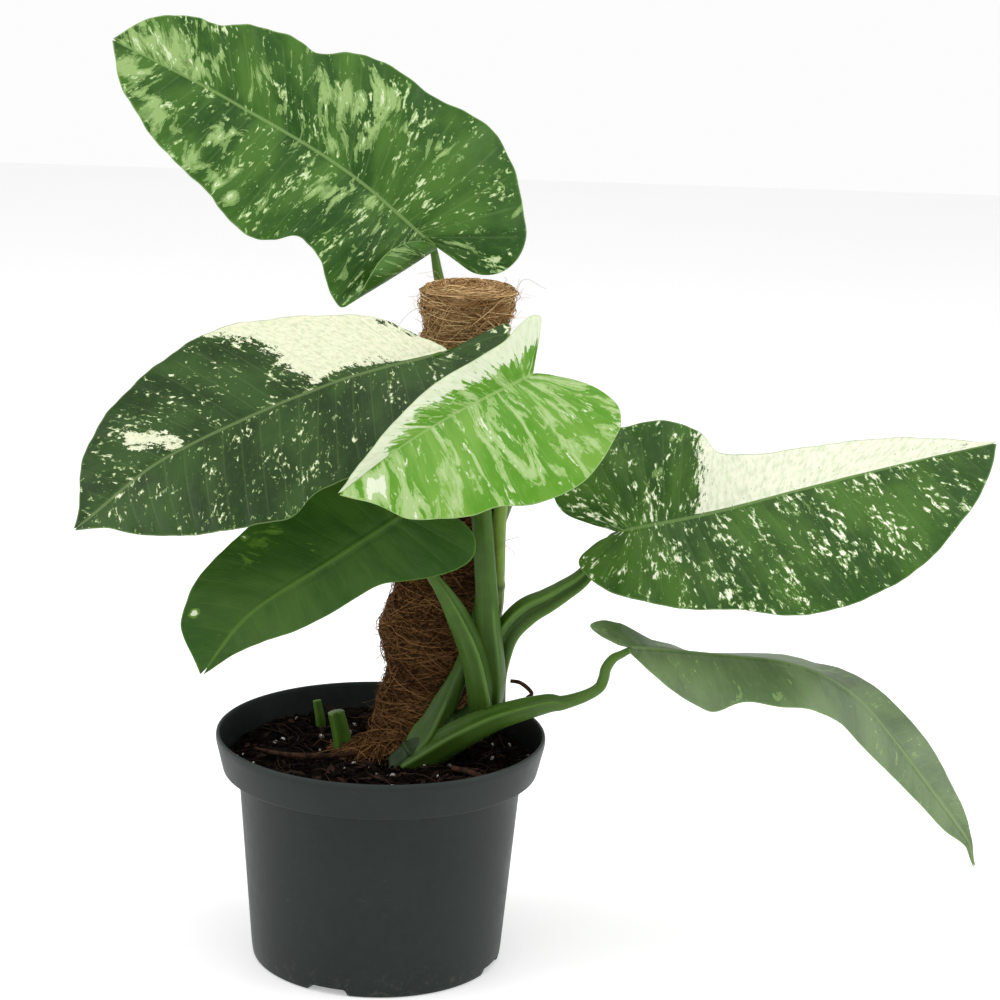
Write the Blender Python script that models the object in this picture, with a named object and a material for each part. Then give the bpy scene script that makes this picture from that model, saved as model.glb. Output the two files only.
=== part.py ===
"""Potted climbing philodendron on a coir pole.

The frame is +Z up with the origin at the centre of the pot's flat base. The front is -Y and the
longest leaf points to +X. Design sizes are in millimetres and MM turns them into metres.

Pieces: a thin nursery pot, its potting mix, the coir pole, the creeping main stem, six petioles,
six leaf blades, two cut stubs, a dried shoot, surface roots, bark chips and perlite beads.
"""
import math

import bmesh
import bpy
import numpy as np

# ---------------------------------------------------------------- driving dimensions (mm)
MM = 0.001
GAP = 0.3                    # clearance kept between neighbouring solids

POT_TOP_RADIUS = 76.0        # six inch azalea pot
POT_HEIGHT = 108.0
POT_BASE_RADIUS = 58.0
POT_WALL = 1.5
RIM_BAND_HEIGHT = 17.5
RIM_BAND_RADIUS = 72.5       # outer radius at the lower edge of the band
WALL_TOP_RADIUS = 65.5       # outer radius just under the band
POT_SEGMENTS = 56

SLOT_COUNT = 4
SLOT_FIRST_ANGLE = -110.0    # degrees from +X, so the first slot is a little left of the front
SLOT_WIDTH = 21.0
SLOT_HEIGHT = 3.2

SOIL_LEVEL = 95.5
SOIL_BUMP = 1.6
SOIL_FLOOR_CLEARANCE = 0.5

POLE_RADIUS = 22.0
POLE_FOOT = (14.0, 30.0, 28.0)
POLE_TOP = (33.0, 30.0, 309.0)
POLE_SIDES = 28
POLE_HOLE_RADIUS = 3.0
POLE_HOLE_DEPTH = 16.0

BLADE_THICKNESS = 0.9
KEEL_AT_BASE = 1.0           # depth of the midrib's keel below the blade
KEEL_AT_TIP = 0.2
BLADE_ROWS = 23
BLADE_COLUMNS = 4            # on each side of the midrib
PETIOLE_SIDES = 10

# ---------------------------------------------------------------- leaf designs
# midrib: points from the petiole to the tip. facing: the upper face's direction at base and tip.
# lift_a / lift_b: (along, degrees) pairs, how far each half rises from the facing plane.
# curl_a / curl_b: how many degrees each half bends over 50 mm of width.
# veins: (foot on the midrib, along a, across a, along b, across b) from the sinus to the tip.
# fold_a / fold_b: (along, across, direction along, direction across, radius, degrees), a roll.
LEAVES = {
    "leaf_top": {
        "midrib": [(15, 66, 326), (-25, 60, 359), (-75, 50, 389), (-129, 38, 417)],
        "facing": [(0.15, -0.85, 0.50), (0.15, -0.85, 0.50)],
        "lift_a": [(0, 6), (173, 6)],
        "lift_b": [(0, 6), (173, 6)],
        "curl_a": -10,
        "curl_b": -10,
        "fold_b": (2.5, 4, 16, 46, 5, 205),
        "veins": [
            (0, -8, 1, -4, 3), (1, -26, 3, -10, 9), (2, -36, 12, -14, 18), (3, -38, 25, -13, 27),
            (4.5, -34, 36, -9, 35), (7, -23, 47, -2, 43), (11, -9, 58, 7, 50), (17, 6, 65, 14, 55),
            (24, 24, 62, 25, 51), (33, 42, 57, 40, 43), (44, 62, 57, 56, 41), (56, 76, 51, 67, 49),
            (68, 88, 43, 80, 54), (82, 104, 43, 96, 50), (98, 120, 38, 110, 44),
            (116, 134, 30, 130, 39), (134, 148, 27, 148, 30), (153, 164, 16, 164, 17),
            (172, 174, 0.6, 174, 0.6),
        ],
    },
    "leaf_left": {
        "midrib": [(26, -6, 288), (-28, -13, 272), (-95, -21, 240), (-135, -28, 208)],
        "facing": [(0.0, -0.68, 0.73), (0.0, -0.68, 0.73)],
        "lift_a": [(0, 6), (185, 6)],
        "lift_b": [(0, 6), (185, 6)],
        "curl_a": -10,
        "curl_b": -14,
        "veins": [
            (0, 0.5, 2, -14, -4), (1, 3, 5, -29, -7), (2, 6, 8, -28, 1), (3.5, 10, 11, -20, 10),
            (6, 16, 17, -12, 23), (10, 25, 26, -2, 34), (17, 38, 32, 14, 43), (28, 55, 39, 34, 48),
            (44, 74, 46, 55, 49.5), (60, 92, 51, 76, 50), (78, 107, 50, 92, 56), (96, 123, 46, 110, 52),
            (116, 141, 38.5, 130, 46), (138, 156, 30, 149, 37), (158, 169, 20, 165, 23),
            (173, 178, 8, 175, 9), (184, 186, 0.6, 186, 0.6),
        ],
    },
    "leaf_center": {
        "midrib": [(64, -16, 281), (32, -34, 267), (6, -52, 253), (-19, -64, 234)],
        "facing": [(0.0, -0.70, 0.70), (0.0, -0.70, 0.70)],
        "lift_a": [(0, 50), (107, 45)],
        "lift_b": [(0, 0), (107, 0)],
        "curl_a": -40,
        "curl_b": -22,
        "fold_b": (0, 0, -18, 40, 4, -30),
        "veins": [
            (0, -5, 8, -8, 2), (1, -12, 17, -18, 6), (2, -14, 22, -27, 16), (3.2, -9, 24, -30, 28),
            (4.8, -1, 22, -24, 38), (7, 7, 19, -14, 45), (10, 16, 18, -3, 51), (15, 26, 17, 8, 55),
            (22, 37, 16.5, 22, 55.5), (31, 48, 15.5, 38, 53), (42, 60, 13, 54, 47), (54, 71, 10.5, 67, 44),
            (66, 81, 7.5, 80, 37), (80, 91, 5, 91, 28), (93, 98, 3, 97, 15), (104, 106, 0.6, 106, 0.6),
        ],
    },
    "leaf_lower_left": {
        "midrib": [(12, -17, 218), (-22, -22, 195), (-58, -30, 171), (-79, -38, 144)],
        "facing": [(0.0, -0.80, 0.60), (0.0, -0.80, 0.60)],
        "lift_a": [(0, 5), (121, 5)],
        "lift_b": [(0, -10), (121, -38)],
        "curl_a": -10,
        "curl_b": -5,
        "veins": [
            (0, -4, 2, -5, 3), (1, -10, 6, -11, 9), (2, -15, 14, -16, 17), (3.5, -14, 23, -17, 26),
            (5.5, -7, 31, -12, 33), (9, 6, 36, -3, 34), (15, 22, 39, 8, 31), (23, 38, 39, 19, 26),
            (32, 52, 38, 30, 21), (42, 64, 35, 43, 20), (54, 76, 32, 58, 20), (68, 88, 30, 74, 18.5),
            (84, 99, 26, 90, 14), (101, 110, 19.5, 105, 7), (116, 121, 0.6, 120, 0.6),
        ],
    },
    "leaf_right": {
        "midrib": [(106, 8, 204), (157, 5, 218), (215, 0, 237), (272, -8, 255)],
        "facing": [(0.0, -0.75, 0.65), (0.0, -0.75, 0.65)],
        "lift_a": [(0, 8), (174, 8)],
        "lift_b": [(0, 8), (174, 8)],
        "curl_a": -10,
        "curl_b": -10,
        "veins": [
            (0, -4, 1, -3, 2), (1, -13, 4, -12, 7), (2, -20, 10, -23, 15), (3, -18, 18, -26, 27),
            (4.5, -12, 26, -18, 42), (7, -3, 33, -4, 51), (13, 10, 39.5, 12, 52), (23, 28, 47, 32, 50),
            (34, 47, 51, 46, 40), (46, 66, 59, 53, 28), (64, 88, 62, 73, 22), (88, 112, 59, 100, 18.5),
            (112, 134, 51, 127, 14.5), (136, 156, 33, 148, 9), (158, 169, 16, 166, 3),
            (173, 175, 0.6, 175, 0.6),
        ],
    },
    "leaf_lower_right": {
        "midrib": [(113, -14, 156), (160, -14, 154), (190, -14, 150), (214, -14, 138), (236, -14, 115),
                   (256, -14, 90), (271, -14, 70), (275, -14, 59)],
        "facing": [(0.0, -0.35, 0.94), (0.5, -0.70, 0.40)],
        "lift_a": [(0, 0), (205, 5)],
        "lift_b": [(-20, 24), (-5, 18), (10, -20), (30, -40), (90, -37), (150, -5), (205, 5)],
        "curl_a": -10,
        "curl_b": -10,
        "veins": [
            (0, -1, 1.5, -6, 1), (1, -1, 3, -14, 5), (2, 0, 5, -19, 10), (3.5, 3, 9, -13, 13.5),
            (6, 9, 17, -4, 13), (11, 18, 26, 9, 14), (19, 30, 34, 24, 22), (30, 38, 36, 42, 29),
            (42, 52, 28, 60, 31), (56, 70, 27, 77, 31), (72, 88, 22, 92, 27), (90, 106, 19, 107, 25),
            (110, 124, 18, 124, 23), (132, 142, 15, 142, 19), (154, 162, 11, 161, 15),
            (176, 182, 8, 182, 9), (194, 197, 2.5, 197, 2.5), (206, 208, 0.6, 208, 0.6),
        ],
    },
}

# ---------------------------------------------------------------- stems: (x, y, z, radius)
MAIN_STEM = [
    (5, -8, 89, 7.0), (14, -5, 96, 8.0), (25, -3, 104, 8.0), (37, 0, 111, 7.5), (49, 3, 118, 7.0),
    (54, 5, 121, 6.0),
]
PETIOLES = {
    "petiole_top": [
        (23, -2, 106, 7.0), (26, -1, 113, 5.5), (34, 2, 132, 4.5), (40, 5, 147, 4.2), (44, 7, 163, 4.0),
        (46, 10, 179, 4.0), (48, 11, 198, 4.0), (55, 24, 218, 3.8), (56, 41, 234, 3.6),
        (47, 54, 252, 3.4), (35, 59, 272, 3.2), (26, 61, 291, 2.8), (20, 62, 308, 2.5),
        (17, 68, 320, 1.9),
    ],
    "petiole_left": [
        (50, 2, 119, 5.6), (51, -4, 140, 5.5), (48, -5, 164, 5.3), (46, -5, 185, 5.0),
        (43, -4, 216, 4.7), (40, -3, 243, 4.2), (36, -2, 266, 3.4), (30, 0, 280, 2.6), (27, 1, 285, 2.0),
    ],
    "petiole_center": [
        (49, 5, 118, 3.4), (51, 14, 139, 3.2), (51, 11, 157, 3.1), (52, 5, 171, 3.0), (52, 3, 185, 3.0),
        (52, 3, 215, 3.3), (57, 2, 243, 3.2), (62, -3, 265, 2.6), (65, -9, 276, 1.8),
    ],
    "petiole_lower_left": [
        (46, 1, 117, 6.0), (45, -9, 132, 6.0), (41, -10, 149, 5.6), (34, -10, 165, 4.6),
        (27, -11, 178, 3.2), (21, -11, 188, 2.6), (17, -11, 202, 2.2), (13, -12, 213, 1.7),
    ],
    "petiole_right": [
        (51, 4, 119, 5.4), (51, 4, 133, 5.4), (53, 3, 147, 5.6), (57, 3, 158, 5.8), (65, 3, 167, 6.0),
        (74, 4, 172, 5.2), (81, 6, 176, 4.6), (90, 9, 182, 3.8), (98, 11, 192, 2.8), (103, 12, 200, 1.9),
    ],
    "petiole_lower_right": [
        (24, -10, 100, 6.5), (38, -15, 112, 6.2), (55, -15, 121, 5.2), (75, -16, 128, 4.0),
        (83, -16, 129, 3.0), (93, -16, 133, 2.7), (99, -16, 137, 2.6), (101, -15, 141, 2.6),
        (102, -15, 146, 2.5), (105, -14, 150, 2.2), (109, -14, 152, 1.6),
    ],
}

STUBS = {
    "cut_stub_left": [(-19, 10, 88, 4.0), (-19, 10, 100, 4.0), (-22, 10, 113, 3.6)],
    "cut_stub_small": [(-31, 44, 89, 2.4), (-31, 44, 97, 2.4), (-33, 45, 107, 2.0)],
}
DRIED_SHOOT = [(59, 8, 131.5, 0.9), (64, 8, 130.5, 0.9), (69, 8, 126, 0.9), (67, 8, 123.5, 0.8)]
SURFACE_ROOTS = {
    "surface_root_long": [
        (-12, -4, 97.6, 1.2), (-28, -12, 98.6, 1.3), (-44, -12, 98.8, 1.2), (-58, -4, 98.4, 0.9),
    ],
    "surface_root_short": [(34, -22, 98.4, 1.2), (44, -30, 98.8, 1.2), (50, -38, 98.6, 0.9)],
}
# centre x, y, then length, width, height, turn in degrees
BARK_CHIPS = {
    "bark_chip_front": (2, -40, 13, 6, 3.0, 20),
    "bark_chip_left": (-46, -30, 11, 5, 2.6, -35),
    "bark_chip_back": (-12, 60, 14, 6, 3.0, 15),
    "bark_chip_right": (56, 2, 10, 5, 2.8, -70),
}
# centre x, y and radius
PERLITE_BEADS = {
    "perlite_front": (33, -48, 2.0),
    "perlite_left": (-36, -40, 1.8),
    "perlite_back": (-50, 20, 2.2),
    "perlite_right": (60, -18, 1.9),
}

# ---------------------------------------------------------------- materials: colour, roughness
MATERIALS = {
    "pot_plastic": ((0.022, 0.042, 0.040), 0.48),
    "potting_mix": ((0.030, 0.018, 0.012), 0.95),
    "coir_fibre": ((0.190, 0.095, 0.042), 0.95),
    "stem_green": ((0.050, 0.130, 0.030), 0.45),
    "petiole_green": ((0.110, 0.260, 0.050), 0.42),
    "leaf_variegated": ((0.080, 0.200, 0.035), 0.38),
    "leaf_pale": ((0.330, 0.520, 0.130), 0.40),
    "leaf_dark": ((0.030, 0.110, 0.022), 0.36),
    "leaf_glossy": ((0.075, 0.160, 0.065), 0.30),
    "dry_wood": ((0.120, 0.060, 0.032), 0.85),
    "bark": ((0.095, 0.045, 0.026), 0.90),
    "perlite": ((0.720, 0.690, 0.640), 0.90),
}
LEAF_MATERIALS = {
    "leaf_top": "leaf_variegated",
    "leaf_left": "leaf_variegated",
    "leaf_center": "leaf_pale",
    "leaf_lower_left": "leaf_dark",
    "leaf_right": "leaf_variegated",
    "leaf_lower_right": "leaf_glossy",
}


# ---------------------------------------------------------------- scene helpers
def clear_scene():
    """Remove every object from the scene."""
    for old in list(bpy.data.objects):
        bpy.data.objects.remove(old, do_unlink=True)


def material(name):
    """Return the named Principled material, made on first use."""
    found = bpy.data.materials.get(name)
    if found:
        return found
    colour, roughness = MATERIALS[name]
    made = bpy.data.materials.new(name)
    made.use_nodes = True
    shader = made.node_tree.nodes["Principled BSDF"]
    shader.inputs["Base Color"].default_value = (*colour, 1.0)
    shader.inputs["Roughness"].default_value = roughness
    shader.inputs["Metallic"].default_value = 0.0
    return made


def mesh_object(name, points_mm, faces, material_name):
    """Make an object from points in millimetres and outward faces."""
    mesh = bpy.data.meshes.new(name)
    mesh.from_pydata((np.asarray(points_mm, dtype=float) * MM).tolist(), [], faces)
    mesh.validate()
    mesh.shade_smooth()
    mesh.set_sharp_from_angle(angle=math.radians(40))
    made = bpy.data.objects.new(name, mesh)
    bpy.context.scene.collection.objects.link(made)
    if material_name:
        mesh.materials.append(material(material_name))
    return made


def make_cutter(cutter):
    """Mark an object as a guide that only cuts."""
    cutter.hide_render = True
    cutter.display_type = "WIRE"
    return cutter


def cut(target, cutter):
    """Cut the target by the cutter with an exact Boolean."""
    change = target.modifiers.new("cut_" + cutter.name, "BOOLEAN")
    change.operation = "DIFFERENCE"
    change.solver = "EXACT"
    change.object = cutter


# ---------------------------------------------------------------- curves
def catmull_rom(points, samples):
    """Smooth curve through the points, at evenly spaced parameters."""
    points = np.asarray(points, dtype=float)
    padded = np.vstack([2 * points[0] - points[1], points, 2 * points[-1] - points[-2]])
    position = np.linspace(0, len(points) - 1, samples)
    start = np.minimum(position.astype(int), len(points) - 2)
    t = (position - start)[:, None]
    p0, p1, p2, p3 = (padded[start + k] for k in range(4))
    cubic = (2 * p1) + (p2 - p0) * t + (2 * p0 - 5 * p1 + 4 * p2 - p3) * t**2
    return 0.5 * (cubic + (3 * p1 - p0 - 3 * p2 + p3) * t**3)


def unit(vectors):
    """Scale vectors to length one."""
    return vectors / np.linalg.norm(vectors, axis=-1, keepdims=True)


def path_frames(path):
    """Two unit vectors square to the path at each point, carried along it without twist."""
    tangents = unit(np.gradient(path, axis=0))
    side = np.cross(tangents[0], (0.31, 0.87, 0.39))
    sides = []
    for tangent in tangents:
        side = unit(side - np.dot(side, tangent) * tangent)
        sides.append(side)
    sides = np.array(sides)
    return sides, np.cross(tangents, sides)


def lofted_rings(rings):
    """Points and faces of a closed body through equal rings, with fan caps at both ends."""
    count, sides = rings.shape[:2]
    points = np.vstack([rings.reshape(-1, 3), rings[0].mean(0), rings[-1].mean(0)])
    faces = []
    for ring in range(count - 1):
        for k in range(sides):
            k_next = (k + 1) % sides
            low, high = ring * sides, (ring + 1) * sides
            faces.append((low + k, low + k_next, high + k_next, high + k))
    first, last = count * sides, count * sides + 1
    for k in range(sides):
        k_next = (k + 1) % sides
        faces.append((first, k_next, k))
        faces.append((last, (count - 1) * sides + k, (count - 1) * sides + k_next))
    return points, faces


def tube(name, route, material_name, sides=PETIOLE_SIDES, rings=18, extra=0.0):
    """Round stem along a route of (x, y, z, radius) points, extra mm fatter if asked."""
    curve = catmull_rom(route, rings)
    path, radii = curve[:, :3], curve[:, 3] + extra
    path[0] -= extra * unit(path[1] - path[0])
    path[-1] += extra * unit(path[-1] - path[-2])
    side, other = path_frames(path)
    turn = np.linspace(0, 2 * math.pi, sides, endpoint=False)
    ring = side[:, None] * np.cos(turn)[None, :, None] + other[:, None] * np.sin(turn)[None, :, None]
    points, faces = lofted_rings(path[:, None] + ring * radii[:, None, None])
    return mesh_object(name, points, faces, material_name)


def turned(name, profile, segments, material_name):
    """Solid of revolution about +Z from a closed (radius, z) outline, run anticlockwise."""
    turn = np.linspace(0, 2 * math.pi, segments, endpoint=False)
    points, rows = [], []
    for radius, height in profile:
        start = len(points)
        if radius < 1e-6:
            points.append((0.0, 0.0, height))
            rows.append([start] * segments)
        else:
            points.extend((radius * math.cos(a), radius * math.sin(a), height) for a in turn)
            rows.append(list(range(start, start + segments)))
    faces = []
    for low, high in zip(rows[:-1], rows[1:]):
        for k in range(segments):
            k_next = (k + 1) % segments
            corner = [low[k], low[k_next], high[k_next], high[k]]
            faces.append(tuple(dict.fromkeys(corner)))
    return mesh_object(name, points, faces, material_name)


# ---------------------------------------------------------------- pot and soil
def pot_outer_radius(height):
    """Outer wall radius between the base and the rim band."""
    wall_top = POT_HEIGHT - RIM_BAND_HEIGHT
    return POT_BASE_RADIUS + (WALL_TOP_RADIUS - POT_BASE_RADIUS) * height / wall_top


def build_pot():
    """Thin tapered pot with a stepped rim band and four drain slots at the foot."""
    band_low = POT_HEIGHT - RIM_BAND_HEIGHT
    wall = POT_WALL
    profile = [
        (0, 0),
        (POT_BASE_RADIUS - 2.0, 0),
        (POT_BASE_RADIUS - 0.6, 0.5),
        (POT_BASE_RADIUS, 2.0),
        (pot_outer_radius(45), 45),
        (WALL_TOP_RADIUS, band_low),
        (RIM_BAND_RADIUS - 0.6, band_low),
        (RIM_BAND_RADIUS, band_low + 0.8),
        (POT_TOP_RADIUS, POT_HEIGHT - 1.2),
        (POT_TOP_RADIUS - 0.5, POT_HEIGHT),
        (POT_TOP_RADIUS - wall - 0.3, POT_HEIGHT),
        (RIM_BAND_RADIUS - wall, band_low + wall + 0.6),
        (WALL_TOP_RADIUS - wall, band_low + wall),
        (pot_outer_radius(45) - wall, 45),
        (POT_BASE_RADIUS - wall, 3.0),
        (POT_BASE_RADIUS - 3.0, wall),
        (0, wall),
    ]
    pot = turned("nursery_pot", profile, POT_SEGMENTS, "pot_plastic")
    for index in range(SLOT_COUNT):
        angle = math.radians(SLOT_FIRST_ANGLE + index * 360.0 / SLOT_COUNT)
        cut(pot, drain_slot_cutter(f"slot_cutter_{index}", angle))
    return pot


def drain_slot_cutter(name, angle):
    """Prism with sloped ends that cuts one slot through the pot's lower corner."""
    inner, outer = POT_BASE_RADIUS - 7.0, POT_BASE_RADIUS + 6.0
    half_low, half_high = SLOT_WIDTH / 2, SLOT_WIDTH / 2 - 2.5
    section = [(-half_low, -1.0), (half_low, -1.0), (half_high, SLOT_HEIGHT), (-half_high, SLOT_HEIGHT)]
    radial = np.array([math.cos(angle), math.sin(angle), 0])
    across = np.array([-math.sin(angle), math.cos(angle), 0])
    points = []
    for reach in (inner, outer):
        points += [radial * reach + across * side + np.array([0, 0, height]) for side, height in section]
    faces = [(3, 2, 1, 0), (4, 5, 6, 7), (0, 1, 5, 4), (1, 2, 6, 5), (2, 3, 7, 6), (3, 0, 4, 7)]
    return make_cutter(mesh_object(name, points, faces, None))


def soil_height(x, y):
    """Gently uneven top of the potting mix."""
    waves = np.sin(0.11 * x + 0.7) * np.cos(0.13 * y - 0.4) + 0.5 * np.sin(0.23 * x - 0.19 * y)
    return SOIL_LEVEL + SOIL_BUMP * waves / 1.5


def build_soil(cutters):
    """Potting mix up to just below the rim, over the wall's step, open around what stands in it."""
    segments = 40
    band_low = POT_HEIGHT - RIM_BAND_HEIGHT
    inside = POT_WALL + GAP + 0.2
    low = POT_WALL + SOIL_FLOOR_CLEARANCE
    edge = RIM_BAND_RADIUS - inside - 0.2
    sides = [
        (POT_BASE_RADIUS - inside - 3.0, low),
        (POT_BASE_RADIUS - inside - 0.4, low + 3.0),
        (pot_outer_radius(45) - inside, 45),
        (WALL_TOP_RADIUS - inside, band_low),
        (WALL_TOP_RADIUS - inside, band_low + POT_WALL + GAP + 0.6),
        (edge, band_low + POT_WALL + GAP + 0.9),
    ]
    turn = np.linspace(0, 2 * math.pi, segments, endpoint=False)
    circle = np.stack([np.cos(turn), np.sin(turn)], axis=-1)
    rings = [np.column_stack([circle * radius, np.full(segments, height)]) for radius, height in sides]
    for radius in np.linspace(edge, 8.0, 8):
        flat = circle * radius
        rings.append(np.column_stack([flat, soil_height(flat[:, 0], flat[:, 1])]))
    points, faces = lofted_rings(np.array(rings))
    soil = mesh_object("potting_mix", points, faces, "potting_mix")
    for cutter in cutters:
        cut(soil, cutter)
    return soil


# ---------------------------------------------------------------- coir pole
def pole_rings(extra=0.0):
    """Rings of the fibre-wrapped pole from its foot to the rim of its hollow top."""
    foot, top = np.array(POLE_FOOT, dtype=float), np.array(POLE_TOP, dtype=float)
    turn = np.linspace(0, 2 * math.pi, POLE_SIDES, endpoint=False)
    circle = np.stack([np.cos(turn), np.sin(turn), 0 * turn], axis=-1)
    rings = []
    for step in np.linspace(0, 1, 15):
        centre = foot + (top - foot) * step
        height = centre[2]
        flare = 1.5 * math.exp(-((height - SOIL_LEVEL - 6.0) / 16.0) ** 2)
        waist = -2.2 * math.exp(-((height - 292.0) / 6.0) ** 2)
        lumps = 0.7 * np.sin(3 * turn + 0.05 * height) + 0.5 * np.sin(5 * turn - 0.09 * height)
        radius = POLE_RADIUS + flare + waist + lumps + extra
        rings.append(centre + circle * radius[:, None])
    return rings, circle, top


def build_pole():
    """Coir pole with a shallow hollow in its top."""
    rings, circle, top = pole_rings()
    rings.append(top + circle * (POLE_RADIUS - 4.0) + np.array([0, 0, 2.5]))
    rings.append(top + circle * (POLE_HOLE_RADIUS + 3.0) + np.array([0, 0, 1.0]))
    rings.append(top + circle * POLE_HOLE_RADIUS - np.array([0, 0, 2.0]))
    rings.append(top + circle * (POLE_HOLE_RADIUS - 0.8) - np.array([0, 0, POLE_HOLE_DEPTH]))
    points, faces = lofted_rings(np.array(rings))
    return mesh_object("coir_pole", points, faces, "coir_fibre")


def pole_socket():
    """Cutter that leaves the potting mix open around the pole."""
    rings, _, _ = pole_rings(extra=GAP + 0.2)
    rings[0] = rings[0] - np.array([0, 0, GAP])
    points, faces = lofted_rings(np.array(rings))
    return make_cutter(mesh_object("pole_socket", points, faces, None))


# ---------------------------------------------------------------- leaf blades
class Blade:
    """A leaf blade: a curved midrib with one half on each side of it."""

    def __init__(self, design):
        curve = catmull_rom(design["midrib"], 241)
        steps = np.linalg.norm(np.diff(curve, axis=0), axis=1)
        self.stations = np.concatenate([[0.0], np.cumsum(steps)])
        self.length = self.stations[-1]
        self.curve = curve
        self.tangents = unit(np.gradient(curve, axis=0))
        self.design = design

    def frame(self, along):
        """Place, tangent, facing and sideways direction at a distance along the midrib."""
        inside = np.clip(along, 0, self.length)
        place = np.stack([np.interp(inside, self.stations, self.curve[:, k]) for k in range(3)], -1)
        tangent = [np.interp(inside, self.stations, self.tangents[:, k]) for k in range(3)]
        tangent = unit(np.stack(tangent, -1))
        place = place + (along - inside)[..., None] * tangent
        share = (inside / self.length)[..., None]
        base_facing, tip_facing = (np.array(f, dtype=float) for f in self.design["facing"])
        facing = base_facing * (1 - share) + tip_facing * share
        facing = unit(facing - np.sum(facing * tangent, -1, keepdims=True) * tangent)
        return place, tangent, facing, np.cross(tangent, facing)

    def folded(self, along, across, side):
        """Roll what lies beyond the half's fold line around a cylinder of the fold's radius."""
        fold = self.design.get("fold_" + side)
        if fold is None:
            return along, across, np.zeros_like(along)
        start, line = np.array(fold[0:2], dtype=float), unit(np.array(fold[2:4], dtype=float))
        radius, limit = fold[4], math.radians(abs(fold[5]))
        beyond = np.array([-line[1], line[0]])
        offset = np.stack([along, across], -1) - start
        distance = np.maximum(offset @ beyond, 0)
        angle = np.minimum(distance / radius, limit)
        straight = distance - radius * angle
        run = radius * np.sin(angle) + straight * np.cos(angle)
        rise = radius * (1 - np.cos(angle)) + straight * np.sin(angle)
        shift = run - distance
        return along + shift * beyond[0], across + shift * beyond[1], rise * math.copysign(1, fold[5])

    def surface(self, along, across, side):
        """Point and upper normal at a place on one half: an arc out from the midrib."""
        along, across, rise = self.folded(along, across, side)
        place, _, facing, sideways = self.frame(along)
        lift = np.array(self.design["lift_" + side], dtype=float)
        start = np.radians(np.interp(along, lift[:, 0], lift[:, 1]))[..., None]
        bend = math.radians(self.design["curl_" + side]) / 50.0
        end = start + bend * across[..., None]
        out = (np.sin(end) - np.sin(start)) / bend
        up = (np.cos(start) - np.cos(end)) / bend
        sign = 1.0 if side == "a" else -1.0
        normal = facing * np.cos(end) - sign * sideways * np.sin(end)
        return place + sign * sideways * out + facing * up + normal * rise[..., None], normal

    def grid(self, rows, columns):
        """Points and normals over the whole blade, one row for each vein pair."""
        veins = catmull_rom(self.design["veins"], rows)
        share = np.linspace(0, 1, columns + 1) ** 0.9
        halves = []
        for side, first in (("a", 1), ("b", 3)):
            along = veins[:, :1] + (veins[:, first:first + 1] - veins[:, :1]) * share
            across = veins[:, first + 1:first + 2] * share
            halves.append(self.surface(along, across, side))
        points = np.concatenate([halves[1][0][:, :0:-1], halves[0][0]], axis=1)
        normals = np.concatenate([halves[1][1][:, :0:-1], halves[0][1]], axis=1)
        return points, normals


def build_leaf(name):
    """Closed thin blade with a low keel under its midrib."""
    points, normals = Blade(LEAVES[name]).grid(BLADE_ROWS, BLADE_COLUMNS)
    rows, width = points.shape[:2]
    keel = np.zeros((rows, width, 1))
    keel[1:-1, BLADE_COLUMNS, 0] = np.linspace(KEEL_AT_BASE, KEEL_AT_TIP, rows - 2)
    upper = points + normals * BLADE_THICKNESS / 2
    lower = points - normals * (BLADE_THICKNESS / 2 + keel)
    corners = np.vstack([upper.reshape(-1, 3), lower.reshape(-1, 3)])
    under = rows * width
    faces = []
    for i in range(rows - 1):
        for j in range(width - 1):
            a, b, c, d = i * width + j, (i + 1) * width + j, (i + 1) * width + j + 1, i * width + j + 1
            faces.append((a, d, c, b))
            faces.append((under + a, under + b, under + c, under + d))
    edge = list(range(width))
    edge += [i * width + width - 1 for i in range(1, rows)]
    edge += [(rows - 1) * width + j for j in range(width - 2, -1, -1)]
    edge += [i * width for i in range(rows - 2, 0, -1)]
    for here, following in zip(edge, edge[1:] + edge[:1]):
        faces.append((under + here, under + following, following, here))
    return mesh_object(name, corners, faces, LEAF_MATERIALS[name])


# ---------------------------------------------------------------- small pieces on the soil
def bark_chip(name, x, y, length, width, height, turn):
    """Flat angular chip resting on the potting mix."""
    form = bmesh.new()
    bmesh.ops.create_cube(form, size=1.0)
    bmesh.ops.bevel(form, geom=form.edges[:], offset=0.18, segments=1, affect="EDGES")
    points = np.array([vertex.co for vertex in form.verts]) * (length, width, height)
    points[:, 2] += 0.12 * points[:, 0]
    faces = [tuple(vertex.index for vertex in face.verts) for face in form.faces]
    form.free()
    angle = math.radians(turn)
    east, north = math.cos(angle), math.sin(angle)
    points = points @ np.array([[east, north, 0], [-north, east, 0], [0, 0, 1]])
    points += (x, y, 0)
    points[:, 2] += (soil_height(points[:, 0], points[:, 1]) + 0.8 - points[:, 2]).max()
    return mesh_object(name, points, faces, "bark")


def perlite_bead(name, x, y, radius):
    """Irregular rounded bead resting on the potting mix."""
    form = bmesh.new()
    bmesh.ops.create_icosphere(form, subdivisions=2, radius=radius)
    points = np.array([vertex.co for vertex in form.verts])
    faces = [tuple(vertex.index for vertex in face.verts) for face in form.faces]
    form.free()
    points *= (1 + 0.12 * np.sin(2.3 * points[:, :1] + 1.7 * points[:, 1:2] - points[:, 2:]))
    points += (x, y, 0)
    points[:, 2] += (soil_height(points[:, 0], points[:, 1]) + 0.8 - points[:, 2]).max()
    return mesh_object(name, points, faces, "perlite")


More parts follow.
